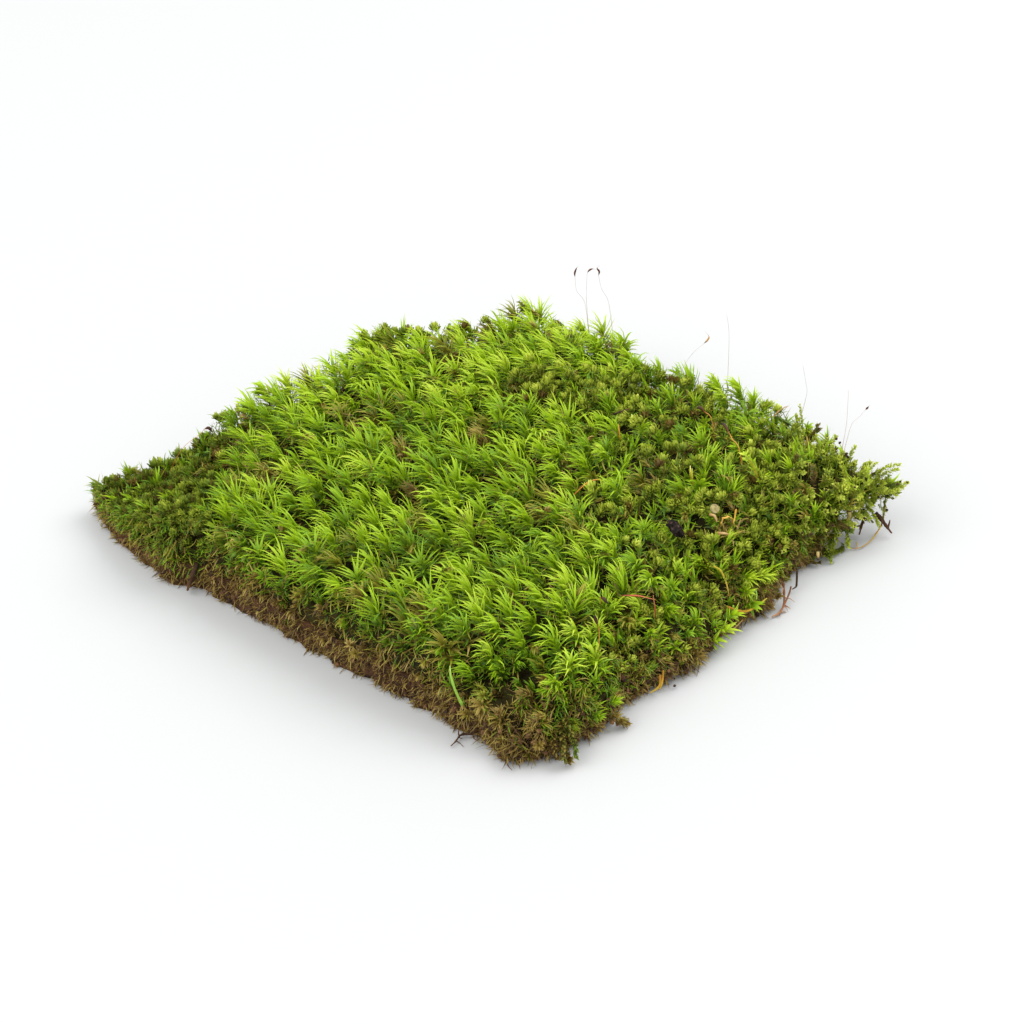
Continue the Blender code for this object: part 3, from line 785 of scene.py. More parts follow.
def growLowShoots(tips, ground, rim, material):
    # shoots between and under the tufts, their greens darkened as painted shade, closer together at the rim
    heap = Heap()
    knobSpots = []
    spots, _ = ground.scatter(14000, lambda n: n[:, 2] > 0.15)
    chosen = spacedOut(spots, broom["lowGap"], tips)
    atRim = spots[spots[:, 2] < broom["rimHeight"]]
    spots = np.concatenate([spots[chosen], atRim[spacedOut(atRim, broom["rimGap"], spots[chosen])]])
    for spot in spots:
        x, y, z = spot
        depths = broom["lowDepth" if z > broom["rimHeight"] else "rimDepth"]
        tip = spot + up * dice.uniform(*depths) * mm
        if dice.random() < knobShare(x, y):
            knobSpots.append(tip)
            continue
        way, hang = broomWay(x, y, z, rim)
        tone = broomTone(x, y, z, rim)
        # painted shade: the greens are pulled down towards the dark green of the shaded leaves
        if tone > 0.4:
            tone = 0.4 + (tone - 0.4) * dice.uniform(0.1, 0.6)
        size = broom["lowSize"] * np.clip(z / broom["lowFullHeight"], 0.5, 1.0) * dice.uniform(0.8, 1.1)
        star = dice.uniform(0, 0.7)
        bend = dice.uniform(0.3, 0.95)
        addShoot(heap, "strip", tip, way, hang, lowBroom, tone, size, bend, star)
    heap.makePiece("broom_low_shoots", material, "broom_moss", ["broom_moss_turf"])
    return knobSpots


def growSmallShoots(ground, rim, material):
    # short upright shoots where knob moss stands among the broom moss
    heap = Heap()
    spots, _ = ground.scatter(9000, lambda n: n[:, 2] > 0.4)
    shares = [knobShare(x, y) * 2 * (1 - 0.6 * atLeftCorner(x, y)) for x, y, _ in spots]
    spots = spots[dice.random(len(spots)) < shares]
    for spot in spots[spacedOut(spots, broom["smallGap"])]:
        x, y, z = spot
        way, hang = broomWay(x, y, z, rim)
        tip = underLoose(spot + up * dice.uniform(-0.5, 2.2) * mm, *shootClearance)
        size = dice.uniform(*broom["smallSize"])
        bend = dice.uniform(0.2, 0.75)
        star = dice.uniform(0, 0.5)
        tone = broomTone(x, y, z, rim)
        addShoot(heap, "strip", tip, way, hang, smallBroom, tone, size, bend, star)
    heap.makePiece("broom_small_shoots", material, "broom_moss")


def growBroom(ground, rim, material):
    # gives back the places that it leaves to the heads of knob moss
    tips = tuftTips("broom_moss_turf")
    knobSpots = growTufts(tips, rim, material)
    knobSpots += growLowShoots(tips, ground, rim, material)
    growSmallShoots(ground, rim, material)
    return knobSpots


# single shoots that the photo shows: place in millimetres, tone, size, and how starry
singleShoots = {
    "golden_rosettes": [
        ((68.1, -80.8, 13.6), 0.2, 0.5, 0.9), ((64.4, -83, 9.6), 0.24, 0.36, 0.6),
        ((88.5, -54.2, 5), 0.2, 0.34, 0.5), ((90, -53.2, 3.6), 0.22, 0.3, 0.5),
        ((90.6, -52.2, 2.4), 0.16, 0.26, 0.4), ((84.7, 13.8, 6), 0.12, 0.26, 0.6),
        ((86.3, 17.2, 5), 0.14, 0.24, 0.6), ((87, 12.6, 4.4), 0.1, 0.26, 0.6),
        ((85.2, -78, 8), 0.17, 0.3, 0.5), ((90, -73.4, 2.8), 0.2, 0.24, 0.6),
        ((82.6, -78.4, 3), 0.3, 0.28, 0.5), ((1.6, -85, 16), 0.2, 0.34, 0.8),
        ((27.9, -87.8, 12), 0.21, 0.3, 0.6), ((86, -52, 9), 0.18, 0.3, 0.6),
        ((87.4, -26, 8), 0.2, 0.26, 0.6),
    ],
    "green_wall_shoots": [
        ((77.2, -70.3, 11), 0.72, 0.42, 0.5), ((85.6, -66.9, 7), 0.8, 0.3, 0.2),
        ((79.2, -78.6, 3), 0.66, 0.26, 0.3), ((88.6, -60.6, 9), 0.6, 0.34, 0.4),
        ((88.4, -54.1, 10), 0.7, 0.34, 0.3),
    ],
    "broad_leaf_shoots": [
        ((87, -11.4, 6), 0.86, 0.45, 0.5), ((87.4, -7.6, 8), 0.92, 0.5, 0.6),
        ((86.4, -3.4, 10), 0.8, 0.46, 0.5), ((86.4, 5.6, 9), 0.62, 0.5, 0.3),
    ],
    "bright_edge_shoots": [
        ((82.2, 9.4, 14), 0.95, 0.62, 0.15), ((83.4, 13, 13.4), 0.98, 0.6, 0.15),
        ((83.6, 16.4, 12), 0.9, 0.55, 0.3), ((84, 6.4, 11.5), 0.92, 0.5, 0.3),
    ],
}


def growSingles(rim, material):
    habits = {
        "golden_rosettes": dict(broom, leaves=26),
        "green_wall_shoots": dict(broom, leaves=22),
        "broad_leaf_shoots": dict(broom, leafWidth=1.7 * mm, leaves=14, leafLength=9 * mm),
        "bright_edge_shoots": dict(broom, leaves=26),
    }
    for name, shoots in singleShoots.items():
        heap = Heap()
        habit = habits[name]
        for spot, tone, size, star in shoots:
            tip = onMat(*spot)
            _, out = rim.near(tip[0], tip[1])
            way = out + up * 0.7 + dice.normal(0, 0.1, 3)
            hang = out - up * 0.3
            addShoot(heap, "blade", tip + out * 1.5 * mm, way, hang, habit, tone, size, 0.35, star)
        heap.makePiece(name, material, "broom_moss")


def underLoose(tip, reach, gap):
    # moss close to a loose bit stays lower than the bit, so that it lies on top
    for node in looseNodes:
        low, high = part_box(node)
        if low.x - reach < tip[0] < high.x + reach and low.y - reach < tip[1] < high.y + reach:
            return np.array((tip[0], tip[1], min(tip[2], low.z - gap)))
    return tip


# knob moss: short rounded heads of crisped leaflets

knob = {
    "leaves": 28,
    "mixedLeaves": 25,  # of a head among the broom moss
    "radius": 2.35 * mm,
    "leafWidth": 0.92 * mm,
    "spread": (104, 10),
    "curl": (0.45, 0.98),
    "gap": 3.2 * mm,
    "sizes": (0.72, 1.05),
    "mixedSizes": (0.64, 0.98),
    "group": (2, 5),  # so 2, 3 or 4 heads stand at one place among the broom moss
    "groupSpread": 2.1,
    "outwards": 5 * mm,  # the rim, where heads lean out of the mat
    "mixedOutwards": 6 * mm,
    "brownShare": 0.08,
    "bud": 1.0 * mm,
}
# where a head has a dark bud on its top, in millimetres on the mat
darkBuds = [(49.8, 66.1), (67.1, 68), (72, 67.2), (18.2, 34), (21.1, 36.4)]


def addHead(heap, top, axis, count, tone, size):
    axis = unit(axis)
    radius = knob["radius"] * size
    s = (np.arange(count) + 0.5) / count
    radial = around(axis, np.arange(count) * goldenTurn + dice.random() * math.tau)
    wide, narrow = knob["spread"]
    spread = np.radians(wide + (narrow - wide) * s**0.85 + dice.normal(0, 9, count))[:, None]
    first = axis * np.cos(spread) + radial * np.sin(spread)
    root = top - axis * radius * dice.uniform(0.85, 1.05) + first * radius * 0.18
    target = unit(axis * 1.0 - radial * 0.5 + dice.normal(0, 0.3, (count, 3)))
    bends = dice.uniform(*knob["curl"], count)
    lengths = radius * dice.uniform(0.8, 1.15, count)
    widths = knob["leafWidth"] * size * dice.uniform(0.75, 1.1, count)
    # the lower leaflets are darker, down to half the tone: painted shade under the top of each head
    tones = tone * (0.5 + 0.5 * s) + dice.normal(0, 0.04, count)
    heap.grow("knobLeaflet", root, first, target, bends, lengths, widths, tones, axis)


def knobTone(x, y, z):
    low = portion(1 - z / (15 * mm)) * (1 - 0.7 * atLeftCorner(x, y))
    if dice.random() < knob["brownShare"] + 0.3 * low:
        return dice.uniform(0.05, 0.2)
    shade = 0.3 * atLeftCorner(x, y)  # the left corner is older and darker
    shade -= 0.1 * portion((x - 68 * mm) / (12 * mm))
    return np.clip(0.73 - shade + 0.3 * patch(x, y, 0.012, 8.0) + dice.normal(0, 0.12), 0.33, 1.0)


def growKnobPatch(node, rim, material):
    # the heads on one solid of knob moss
    heap = Heap()
    spots, normals = Ground([node]).scatter(5000, lambda n: n[:, 2] > -0.3)
    tips = tuftTips(node)
    spots = np.concatenate([tips, spots])
    normals = np.concatenate([np.tile(up, (len(tips), 1)), normals])
    for number in spacedOut(spots, knob["gap"], axes=3):
        x, y, z = spots[number]
        if x + y > sprig["from"] and dice.random() < sprig["share"]:
            continue
        gap, out = rim.near(x, y)
        share = portion(1 - gap / knob["outwards"])
        if gap > 2 * mm and normals[number][2] < 0.05:
            continue
        axis = up * 1.2 + normals[number] * 0.6 + out * share * 0.8 + dice.normal(0, 0.18, 3)
        top = spots[number] + unit(axis) * dice.uniform(-0.4, 0.6) * mm
        addHead(heap, top, axis, knob["leaves"], knobTone(x, y, z), dice.uniform(*knob["sizes"]))
    heap.makePiece(node + "_heads", material, "knob_moss", [node])


def growMixedHeads(mixedSpots, ground, rim, material):
    # small groups of heads at the places that the broom moss leaves free
    heap = Heap()
    for top in mixedSpots:
        for k in range(dice.integers(*knob["group"])):
            offset = np.zeros(3)
            if k:
                offset = np.clip(dice.normal(0, knob["groupSpread"], 3), -3, 3) * (1, 1, 0.4) * mm
            if ground.height(top[0] + offset[0], top[1] + offset[1]) is None:
                offset = offset * 0.2
            gap, out = rim.near(top[0], top[1])
            axis = up + out * portion(1 - gap / knob["mixedOutwards"]) + dice.normal(0, 0.25, 3)
            place = underLoose(top + offset, *headClearance)
            addHead(heap, place, axis, knob["mixedLeaves"], knobTone(*top), dice.uniform(*knob["mixedSizes"]))
    heap.makePiece("knob_moss_mixed_heads", material, "knob_moss")


def makeDarkBuds(ground, material):
    heap = Heap()
    for x, y in darkBuds:
        place = onMat(x, y)
        top = ground.height(*place[:2]) + 1.2 * mm
        for _ in range(3):
            spot = place + up * top + dice.normal(0, 0.7, 3) * (1, 1, 0.5) * mm
            heap.addLump(budLump, spot, knob["bud"], dice.uniform(0.7, 1.2, 3), dice.uniform(0.02, 0.2))
    heap.makePiece("knob_moss_buds", material, "knob_moss")


# the open tip at the right corner: small ferny shoots of knob moss, some with a dark bud

sprig = {
    "from": 123 * mm,  # the tip is where x + y is more than this
    "share": 0.85,  # of the heads there that sprigs take the place of
    "gap": 2.4 * mm,
    "length": (4.0 * mm, 8.5 * mm),
    "leafLength": 1.7 * mm,
    "leafWidth": 0.85 * mm,
    "leafGap": 0.19 * mm,
    "budShare": 0.4,
    "bud": 0.9 * mm,
}
# sprigs that hang out of the mat or stand up from it: route in millimetres on the mat, tone, size
hangingSprigs = [
    ([(79.5, 58, 13), (82.6, 55.8, 9.5), (83.9, 53.8, 6), (84.4, 53.6, 1.6)], 0.7, 1.25),
    ([(78.5, 54, 11), (81.4, 51, 7.5), (82.8, 48.6, 4), (83.4, 46.2, 1.2)], 0.72, 1.3),
    ([(81.8, 50.4, 6), (82.6, 47.2, 4.6), (83.2, 44.4, 2)], 0.6, 1.1),
    ([(82, 62, 13), (84, 61.5, 12), (85, 62.9, 10), (86.4, 63.9, 7), (87.4, 64.7, 4.4)], 0.74, 0.9),
    ([(84.4, 67.6, 9.8), (86.8, 66.6, 9), (88.2, 66.2, 9.6)], 0.66, 0.6),
    ([(83, 70, 15), (86.4, 71.6, 16), (89.4, 72.2, 15.4)], 0.9, 1.0),
    ([(83, 66, 15), (87, 66.8, 16.4), (90.6, 67, 15.6)], 0.95, 1.0),
    ([(80, 70, 17), (83, 73, 19.6), (85.4, 75, 20.4)], 0.95, 1.0),
    ([(78, 66, 17), (79.7, 68.3, 19.6), (80.4, 70, 21)], 0.95, 0.9),
    ([(81, 69, 16), (83.7, 72.9, 18.4), (85, 75, 18.6)], 0.98, 1.0),
    ([(83, 70, 14), (85.6, 73.4, 14.6), (87, 75, 13.6)], 0.92, 0.9),
    # the dark clump at the near corner
    ([(86, -70, 12), (89, -70.8, 9), (91.4, -71.6, 6.4), (92.2, -72.2, 3)], 0.3, 1.1),
    ([(85.4, -71, 11), (88.6, -73.4, 8), (90.4, -74.8, 5.4), (91, -75.2, 3)], 0.24, 1.1),
    ([(86, -69, 9), (90.4, -71, 5), (91.8, -71.6, 2.6)], 0.36, 0.9),
    ([(85, -73, 9), (88.4, -75.8, 5.6), (89.7, -76.2, 3.4)], 0.14, 1.0),
    ([(86, -70, 6), (89.8, -72.6, 3), (91, -73.6, 1)], 0.16, 1.0),
    # along the loop of root at the right corner, and past its end
    ([(84, 71.4, 10.4), (84.4, 70.8, 8.6), (85.1, 70, 7), (85.8, 68.4, 3.6)], 0.55, 0.75),
    ([(83.4, 53.4, 1.6), (83.8, 50.4, 1.4), (83.8, 47, 1.8), (83.9, 44.8, 2.2)], 0.62, 1.0),
    ([(83.9, 45.4, 3.4), (84.6, 44.9, 2), (85.2, 44.7, 0.8)], 0.6, 1.0),
]
# where a small dark bud ends a sprig at the tip, in millimetres on the mat
tipBuds = [(84.4, 70.3, 15.4), (86.1, 73.6, 14.6), (84.7, 69.7, 14.2), (86.6, 73.3, 13.6), (88.2, 66.4, 9.8)]


def addSprig(heap, route, habit, tone, size=1.0):
    # a stem clad in small crisp leaves, its route in metres; gives back its end
    route = np.array(route)
    far = np.concatenate([[0], np.cumsum(np.linalg.norm(np.diff(route, axis=0), axis=1))])
    count = max(int(far[-1] / habit["leafGap"]), 6)
    share = np.linspace(0.04, 1, count)
    places = np.stack([np.interp(share * far[-1], far, route[:, k]) for k in range(3)], axis=1)
    ahead = unit(np.gradient(places, axis=0))
    turn = np.arange(count) * goldenTurn + dice.normal(0, 0.3, count)
    radial = around(ahead, turn)
    first = unit(ahead * dice.uniform(0.2, 0.9, (count, 1)) + radial)
    target = unit(ahead * 1.4 + radial * 0.2 + dice.normal(0, 0.35, (count, 3)))
    lengths = habit["leafLength"] * size * (1.1 - 0.4 * share) * dice.uniform(0.7, 1.15, count)
    widths = habit["leafWidth"] * size * dice.uniform(0.7, 1.1, count)
    tones = tone * (0.6 + 0.4 * share) + dice.normal(0, 0.04, count)
    heap.grow("crisp", places, first, target, dice.uniform(0.2, 0.8, count), lengths, widths, tones, ahead)
    return places[-1]


def growSprigs(rim, material, budMaterial):
    own = Ground(["knob_moss_right"])
    spots, normals = own.scatter(9000, lambda n: n[:, 2] > -0.4)
    atTip = np.flatnonzero(spots[:, 0] + spots[:, 1] > sprig["from"])
    heap, buds = Heap(), Heap()
    for number in atTip[spacedOut(spots[atTip], sprig["gap"], axes=3)]:
        spot, normal = spots[number], normals[number]
        gap, out = rim.near(spot[0], spot[1])
        share = portion(1 - gap / (7 * mm))
        way = unit(up * 1.1 + normal * 0.5 + out * share * 1.5 + dice.normal(0, 0.35, 3))
        reach = dice.uniform(*sprig["length"])
        side = dice.normal(0, 0.3, 3) * reach
        start = spot - way * reach * 0.8
        route = [start + way * reach * t + side * t**2 for t in np.linspace(0, 1, 6)]
        low = portion(1.4 - spot[2] / (14 * mm))
        dead = dice.random() < 0.15 + 0.6 * low
        tone = dice.uniform(0.15, 0.4) if dead else dice.uniform(0.45, 0.8) + 0.2 * share
        end = addSprig(heap, route, sprig, tone, dice.uniform(0.8, 1.15))
        if dice.random() < sprig["budShare"] * (0.2 + 0.8 * share):
            buds.addLump(budLump, end, sprig["bud"], dice.uniform(0.6, 1.1), dice.uniform(0.02, 0.3))
    for points, tone, size in hangingSprigs:
        addSprig(heap, [onMat(*spot) for spot in through(points, 5)], sprig, tone, size)
    for spot in tipBuds:
        buds.addLump(budLump, onMat(*spot), sprig["bud"], dice.uniform(1.0, 1.4), 0.06)
    heap.makePiece("corner_sprigs", material, "knob_moss", ["knob_moss_right"])
    buds.makePiece("corner_buds", budMaterial, "knob_moss")


# the cut walls: dead leaves, brown shoots, crumbs of peat and rootlets

wall = {
    "leaves": 30000,
    "lowLeaves": 25000,  # on the cut peat alone
    "peatTop": 11 * mm,
    "leafLength": (1.8 * mm, 4.4 * mm),
    "leafWidth": 0.32 * mm,
    "shoots": 900,
    "shootSize": (0.28, 0.46),
    "crumbs": 5000,
    "crumbsBelow": 9 * mm,
    "crumbSize": (0.4 * mm, 1.7 * mm),
    "rootlets": 900,
    "rootletLength": (3 * mm, 8 * mm),
    "rootletWidth": 0.2 * mm,
    "tips": (-157 * mm, 129 * mm),  # past these sums of x and y the corners stay thin
}
wallBroom = dict(broom, leaves=20)
# crumbs at the foot of the wall, in millimetres on the mat
fallenCrumbs = [(89.2, -54.8, 2.4), (90.4, -54, 1.6), (91, -52.4, 1.8), (87.3, -63.2, 0.6), (90, -30.6, 1)]


def wallTone(spot, out):
    share = spot[2] / deadHeight(spot[0], spot[1], out) + 0.25 * patch(spot[0], spot[1], 0.009, 5.0)
    if share < dice.uniform(0.2, 0.5):
        return dice.uniform(0.0, 0.08) if dice.random() < 0.45 else dice.uniform(0.08, 0.2)
    if share < dice.uniform(0.75, 1.1):
        return dice.uniform(0.04, 0.22)
    return dice.uniform(0.26, 0.55)


def offTips(spots, normals):
    along = spots[:, 0] + spots[:, 1]
    kept = (along > wall["tips"][0]) & (along < wall["tips"][1])
    return spots[kept], normals[kept]


def growDeadLeaves(walls, material):
    # loose dead leaves all over the walls, more of them on the cut peat
    high, highNormals = walls.openWall(wall["leaves"])
    low, lowNormals = walls.openWall(wall["lowLeaves"], wall["peatTop"])
    spots, normals = np.concatenate([high, low]), np.concatenate([highNormals, lowNormals])
    heap = Heap()
    count = len(spots)
    out = unit(normals * (1, 1, 0) + dice.normal(0, 0.35, (count, 3)) * (1, 1, 0))
    first = unit(out * 0.7 + up * dice.uniform(-0.7, 0.8, (count, 1)) + dice.normal(0, 0.9, (count, 3)))
    target = unit(-out * 0.1 - up * dice.uniform(-0.6, 1.0, (count, 1)) + dice.normal(0, 1.0, (count, 3)))
    tones = np.array([wallTone(spot, way) for spot, way in zip(spots, out)])
    lengths = dice.uniform(*wall["leafLength"], count)
    widths = wall["leafWidth"] * dice.uniform(0.6, 1.3, count)
    bends = dice.uniform(0.4, 0.98, count)
    heap.grow("dead", spots - out * 0.8 * mm, first, target, bends, lengths, widths, tones)
    heap.makePiece("dead_wall_leaves", material, "broom_moss")


def growDeadShoots(walls, material):
    heap = Heap()
    spots, normals = offTips(*walls.openWall(wall["shoots"]))
    for spot, normal in zip(spots, normals):
        if spot[2] < dice.uniform(1, 9) * mm:
            continue
        out = unit(normal * (1, 1, 0))
        way = out * 0.8 + up * dice.uniform(-0.2, 1.0) + dice.normal(0, 0.35, 3)
        hang = out * 0.3 - up * dice.uniform(0.2, 1.2) + dice.normal(0, 0.35, 3)
        size = dice.uniform(*wall["shootSize"])
        tip = spot + out * dice.uniform(-0.4, 1.4) * mm + up * 1.5 * mm
        star = dice.uniform(0, 0.25)
        addShoot(heap, "dead", tip, way, hang, wallBroom, wallTone(spot, out), size, 0.9, star)
    heap.makePiece("dead_wall_shoots", material, "broom_moss")


def scatterCrumbs(walls, material):
    # broken crumbs of peat, fewer the higher up, and the first few at the foot of the wall
    lump, faces = crumbLump
    spots, normals = offTips(*walls.openWall(wall["crumbs"], wall["crumbsBelow"]))
    low = np.flatnonzero(spots[:, 2] < dice.uniform(2, 12, len(spots)) * mm)
    sizes = dice.uniform(*wall["crumbSize"], (len(low), 1, 1)) * dice.uniform(0.6, 1.2, (len(low), 1, 3))
    turns = dice.random((len(low), 1)) * math.tau
    c, s = np.cos(turns), np.sin(turns)
    shape = lump[None] * sizes * dice.uniform(0.85, 1.15, (len(low), len(lump), 1))
    x, y, z = shape[..., 0], shape[..., 1], shape[..., 2]
    shape = np.stack([x * c - y * s, x * s + y * c, z], axis=-1)
    out = normals[low] * dice.uniform(-0.7, 0.5, (len(low), 1)) * mm
    places = spots[low] + out
    places[: len(fallenCrumbs)] = [onMat(*spot) for spot in fallenCrumbs]
    places[:, 2] = np.maximum(places[:, 2], sizes[:, 0, 2] * 0.4)
    maps = np.broadcast_to(dice.random((len(low), 1, 1)) * 0.9 + 0.05, (len(low), len(lump), 2))
    heap = Heap()
    heap.add(shape + places[:, None], faces, maps)
    heap.makePiece("peat_crumbs", material, "peat", smooth=False)


def growRootlets(walls, material):
    spots, normals = offTips(*walls.openWall(wall["rootlets"]))
    count = len(spots)
    out = unit(normals * (1, 1, 0))
    first = unit(out + up * dice.uniform(-1.0, 0.3, (count, 1)) + dice.normal(0, 0.5, (count, 3)))
    target = unit(out * 0.4 - up * 0.5 + dice.normal(0, 0.7, (count, 3)))
    lengths = dice.uniform(*wall["rootletLength"], count) * 0.7
    widths = wall["rootletWidth"] * dice.uniform(0.7, 1.5, count)
    bends = dice.uniform(0.5, 1.0, count)
    tones = dice.uniform(0, 0.16, count)
    heap = Heap()
    heap.grow("thread", spots, first, target, bends, lengths, widths, tones)
    heap.makePiece("rootlets", material, "root")


# stalks, roots, straws and loose bits

# stalks 1 to 13: foot, route of the stalk, route of the capsule; all in millimetres on the mat
stalks = [
    (
        (-30.1, 67), [(-31.6, 66.2, 32.9), (-33.6, 64.3, 37.6)],
        [(-34, 63.8, 42.6), (-34.1, 63.8, 44), (-33.7, 64.2, 45.7), (-33.2, 64.8, 46.6)],
    ),
    (
        (-27.1, 64.2), [(-28.2, 63.1, 35.4), (-28.3, 63, 42.1)],
        [(-28.2, 63.1, 46.5), (-27.7, 63.6, 47.4), (-27, 64.3, 47.8), (-26, 65.2, 47.6)],
    ),
    (
        (-22.5, 70.5), [(-24, 69, 34.7), (-25.7, 67.4, 39.8)],
        [(-26.5, 66.5, 44.8), (-26.4, 66.7, 46.2), (-26.9, 66.2, 47.4), (-26.2, 66.8, 48.4)],
    ),
    (
        (9.4, 60.2), [(13.6, 64.2, 32.5)],
        [(16.5, 67, 37.1), (17.2, 67.7, 38.2), (17.5, 68, 39.6), (16.4, 67.2, 41.2)],
    ),
    ((23.6, 71), [(23.2, 70.6, 40.5), (22.3, 69.7, 48.8)], []),
    ((53.5, 66.7), [(55, 68.2, 34.1), (54.7, 67.9, 38.2), (53.6, 66.9, 44.9)], []),
    ((68.7, 68.7), [(69.3, 69.2, 29.1), (69.2, 69.1, 36.4), (69, 68.9, 41.9)], []),
    (
        (70.8, 66.1), [(72.1, 67.4, 31.1), (73.6, 68.8, 34.3)],
        [(74.8, 70, 36.8), (75.2, 70.4, 37.5), (75.7, 70.8, 38.6)],
    ),
    (
        (-78, -68), [(-73, -65, 20), (-69.4, -61, 24.6)],
        [(-68.2, -60, 26.6), (-67.2, -59, 27), (-66.6, -58.4, 25.6)],
    ),
    ((39.3, 46.2), [(38.1, 45.2, 29)], [(35.6, 44.9, 30.6), (34, 44.7, 31.4), (32.9, 44.4, 30.8)]),
    (
        (57.2, 37.7), [(53.9, 38.6, 28.6), (51, 39.3, 30)],
        [(48.4, 40.4, 31), (46.3, 41.2, 32), (44.5, 41.6, 32)],
    ),
    ((78, -48), [(78.8, -49, 23)], [(78.8, -49.6, 25.4), (78.4, -50, 27.4), (78, -50.2, 28.8)]),
    ((70, -38), [(71, -40, 25)], [(71.8, -40.8, 26.4), (73.2, -41, 26.6), (74.6, -41, 25.8)]),
]
# radii and depth in millimetres
stalkHabit = {
    "radius": 0.055,
    "capsule": (0.12, 0.28, 0.31, 0.17, 0.05, 0.03),
    "stoutRadius": 0.11,
    "stoutCapsule": (0.16, 0.4, 0.52, 0.5, 0.34, 0.1),
    "rooted": 4,  # how deep its foot goes into the moss
    "golden": 4,
    "stout": (9, 10, 11, 12, 13),
    "hairThin": 9,  # a stout capsule on a thin stalk
}
# litter: radius, half width where it is a flat blade, and the route in millimetres on the mat
litter = {
    "yellow_shoot": (0.5, 0, [(64.5, 34.1, 24), (62.6, 33.8, 27.6), (61.4, 31.6, 31.4)]),
    "red_stalk": (
        0.26, 0,
        [(72.6, -32.9, 24.1), (73.7, -30.5, 23.4), (74.8, -28.4, 22.7), (76.6, -23.9, 20)],
    ),
    "arch_stalk": (0.2, 0, [(32, -8, 28), (33.6, -4.5, 31), (34.4, -1, 31), (33.6, 3, 28)]),
    "straw_1": (0.28, 0, [(76.1, 1.3, 19), (77.5, 2.7, 17.5), (80, 2.3, 14.8), (82.4, 0.9, 12.1)]),
}
# what sticks out of the mat
roots = {
    "pale_stem": (
        0.44, 0,
        [(64.2, -84.8, 11.4), (61.3, -84.6, 15), (59.2, -83.9, 17.8), (57.6, -82.6, 19.4)],
    ),
    "straw_2": (0.25, 1.0, [(84.2, -2, 9), (86.8, 1.4, 7), (87.8, 4.6, 6.6), (88.2, 10.5, 7.4)]),
    "straw_3": (0.2, 0.6, [(85, -10.4, 6), (86.8, -8.6, 5), (88.8, -5, 5.4), (88.6, -0.4, 6)]),
    "root_left": (0.8, 0, [(-36.6, -90, 9), (-36.4, -93, 5), (-37.2, -94, 1.4)]),
    "root_near": (
        0.34, 0,
        [(66.2, -81.7, 3), (65.4, -83.2, 1.8), (63.4, -84.8, 1), (64, -87.1, 0.8), (64.4, -89.4, 0.7)],
    ),
    "root_right_1": (
        0.36, 0,
        [(85.8, 21, 6), (87.4, 19.6, 4), (88.9, 17.8, 1.6), (89.6, 14.8, 0.8), (89.2, 12.3, 0.7)],
    ),
    "root_right_2": (
        0.34, 0,
        [(83.6, 16.4, 6.4), (85.1, 16.1, 5), (86.1, 15.6, 3), (87.2, 15, 1.8), (88, 15, 1)],
    ),
    "root_corner_1": (0.7, 0, [(84.8, 65.8, 7.4), (86.4, 66.4, 6), (88.2, 67.4, 3.4), (89.6, 68.2, 1.4)]),
    "root_corner_2": (
        0.55, 0,
        [(80.8, 65.4, 7.4), (81.6, 64.6, 5.6), (82.1, 63.7, 3.6), (82.8, 61.5, 0.9)],
    ),
    "root_loop": (
        0.27, 0,
        [
            (84.2, 71, 8.6), (85, 70, 7), (85.8, 68.4, 3), (86.3, 64.6, 0.9), (87.1, 60.7, 0.8),
            (86.8, 56, 0.8), (84, 53.6, 0.8),
        ],
    ),
}
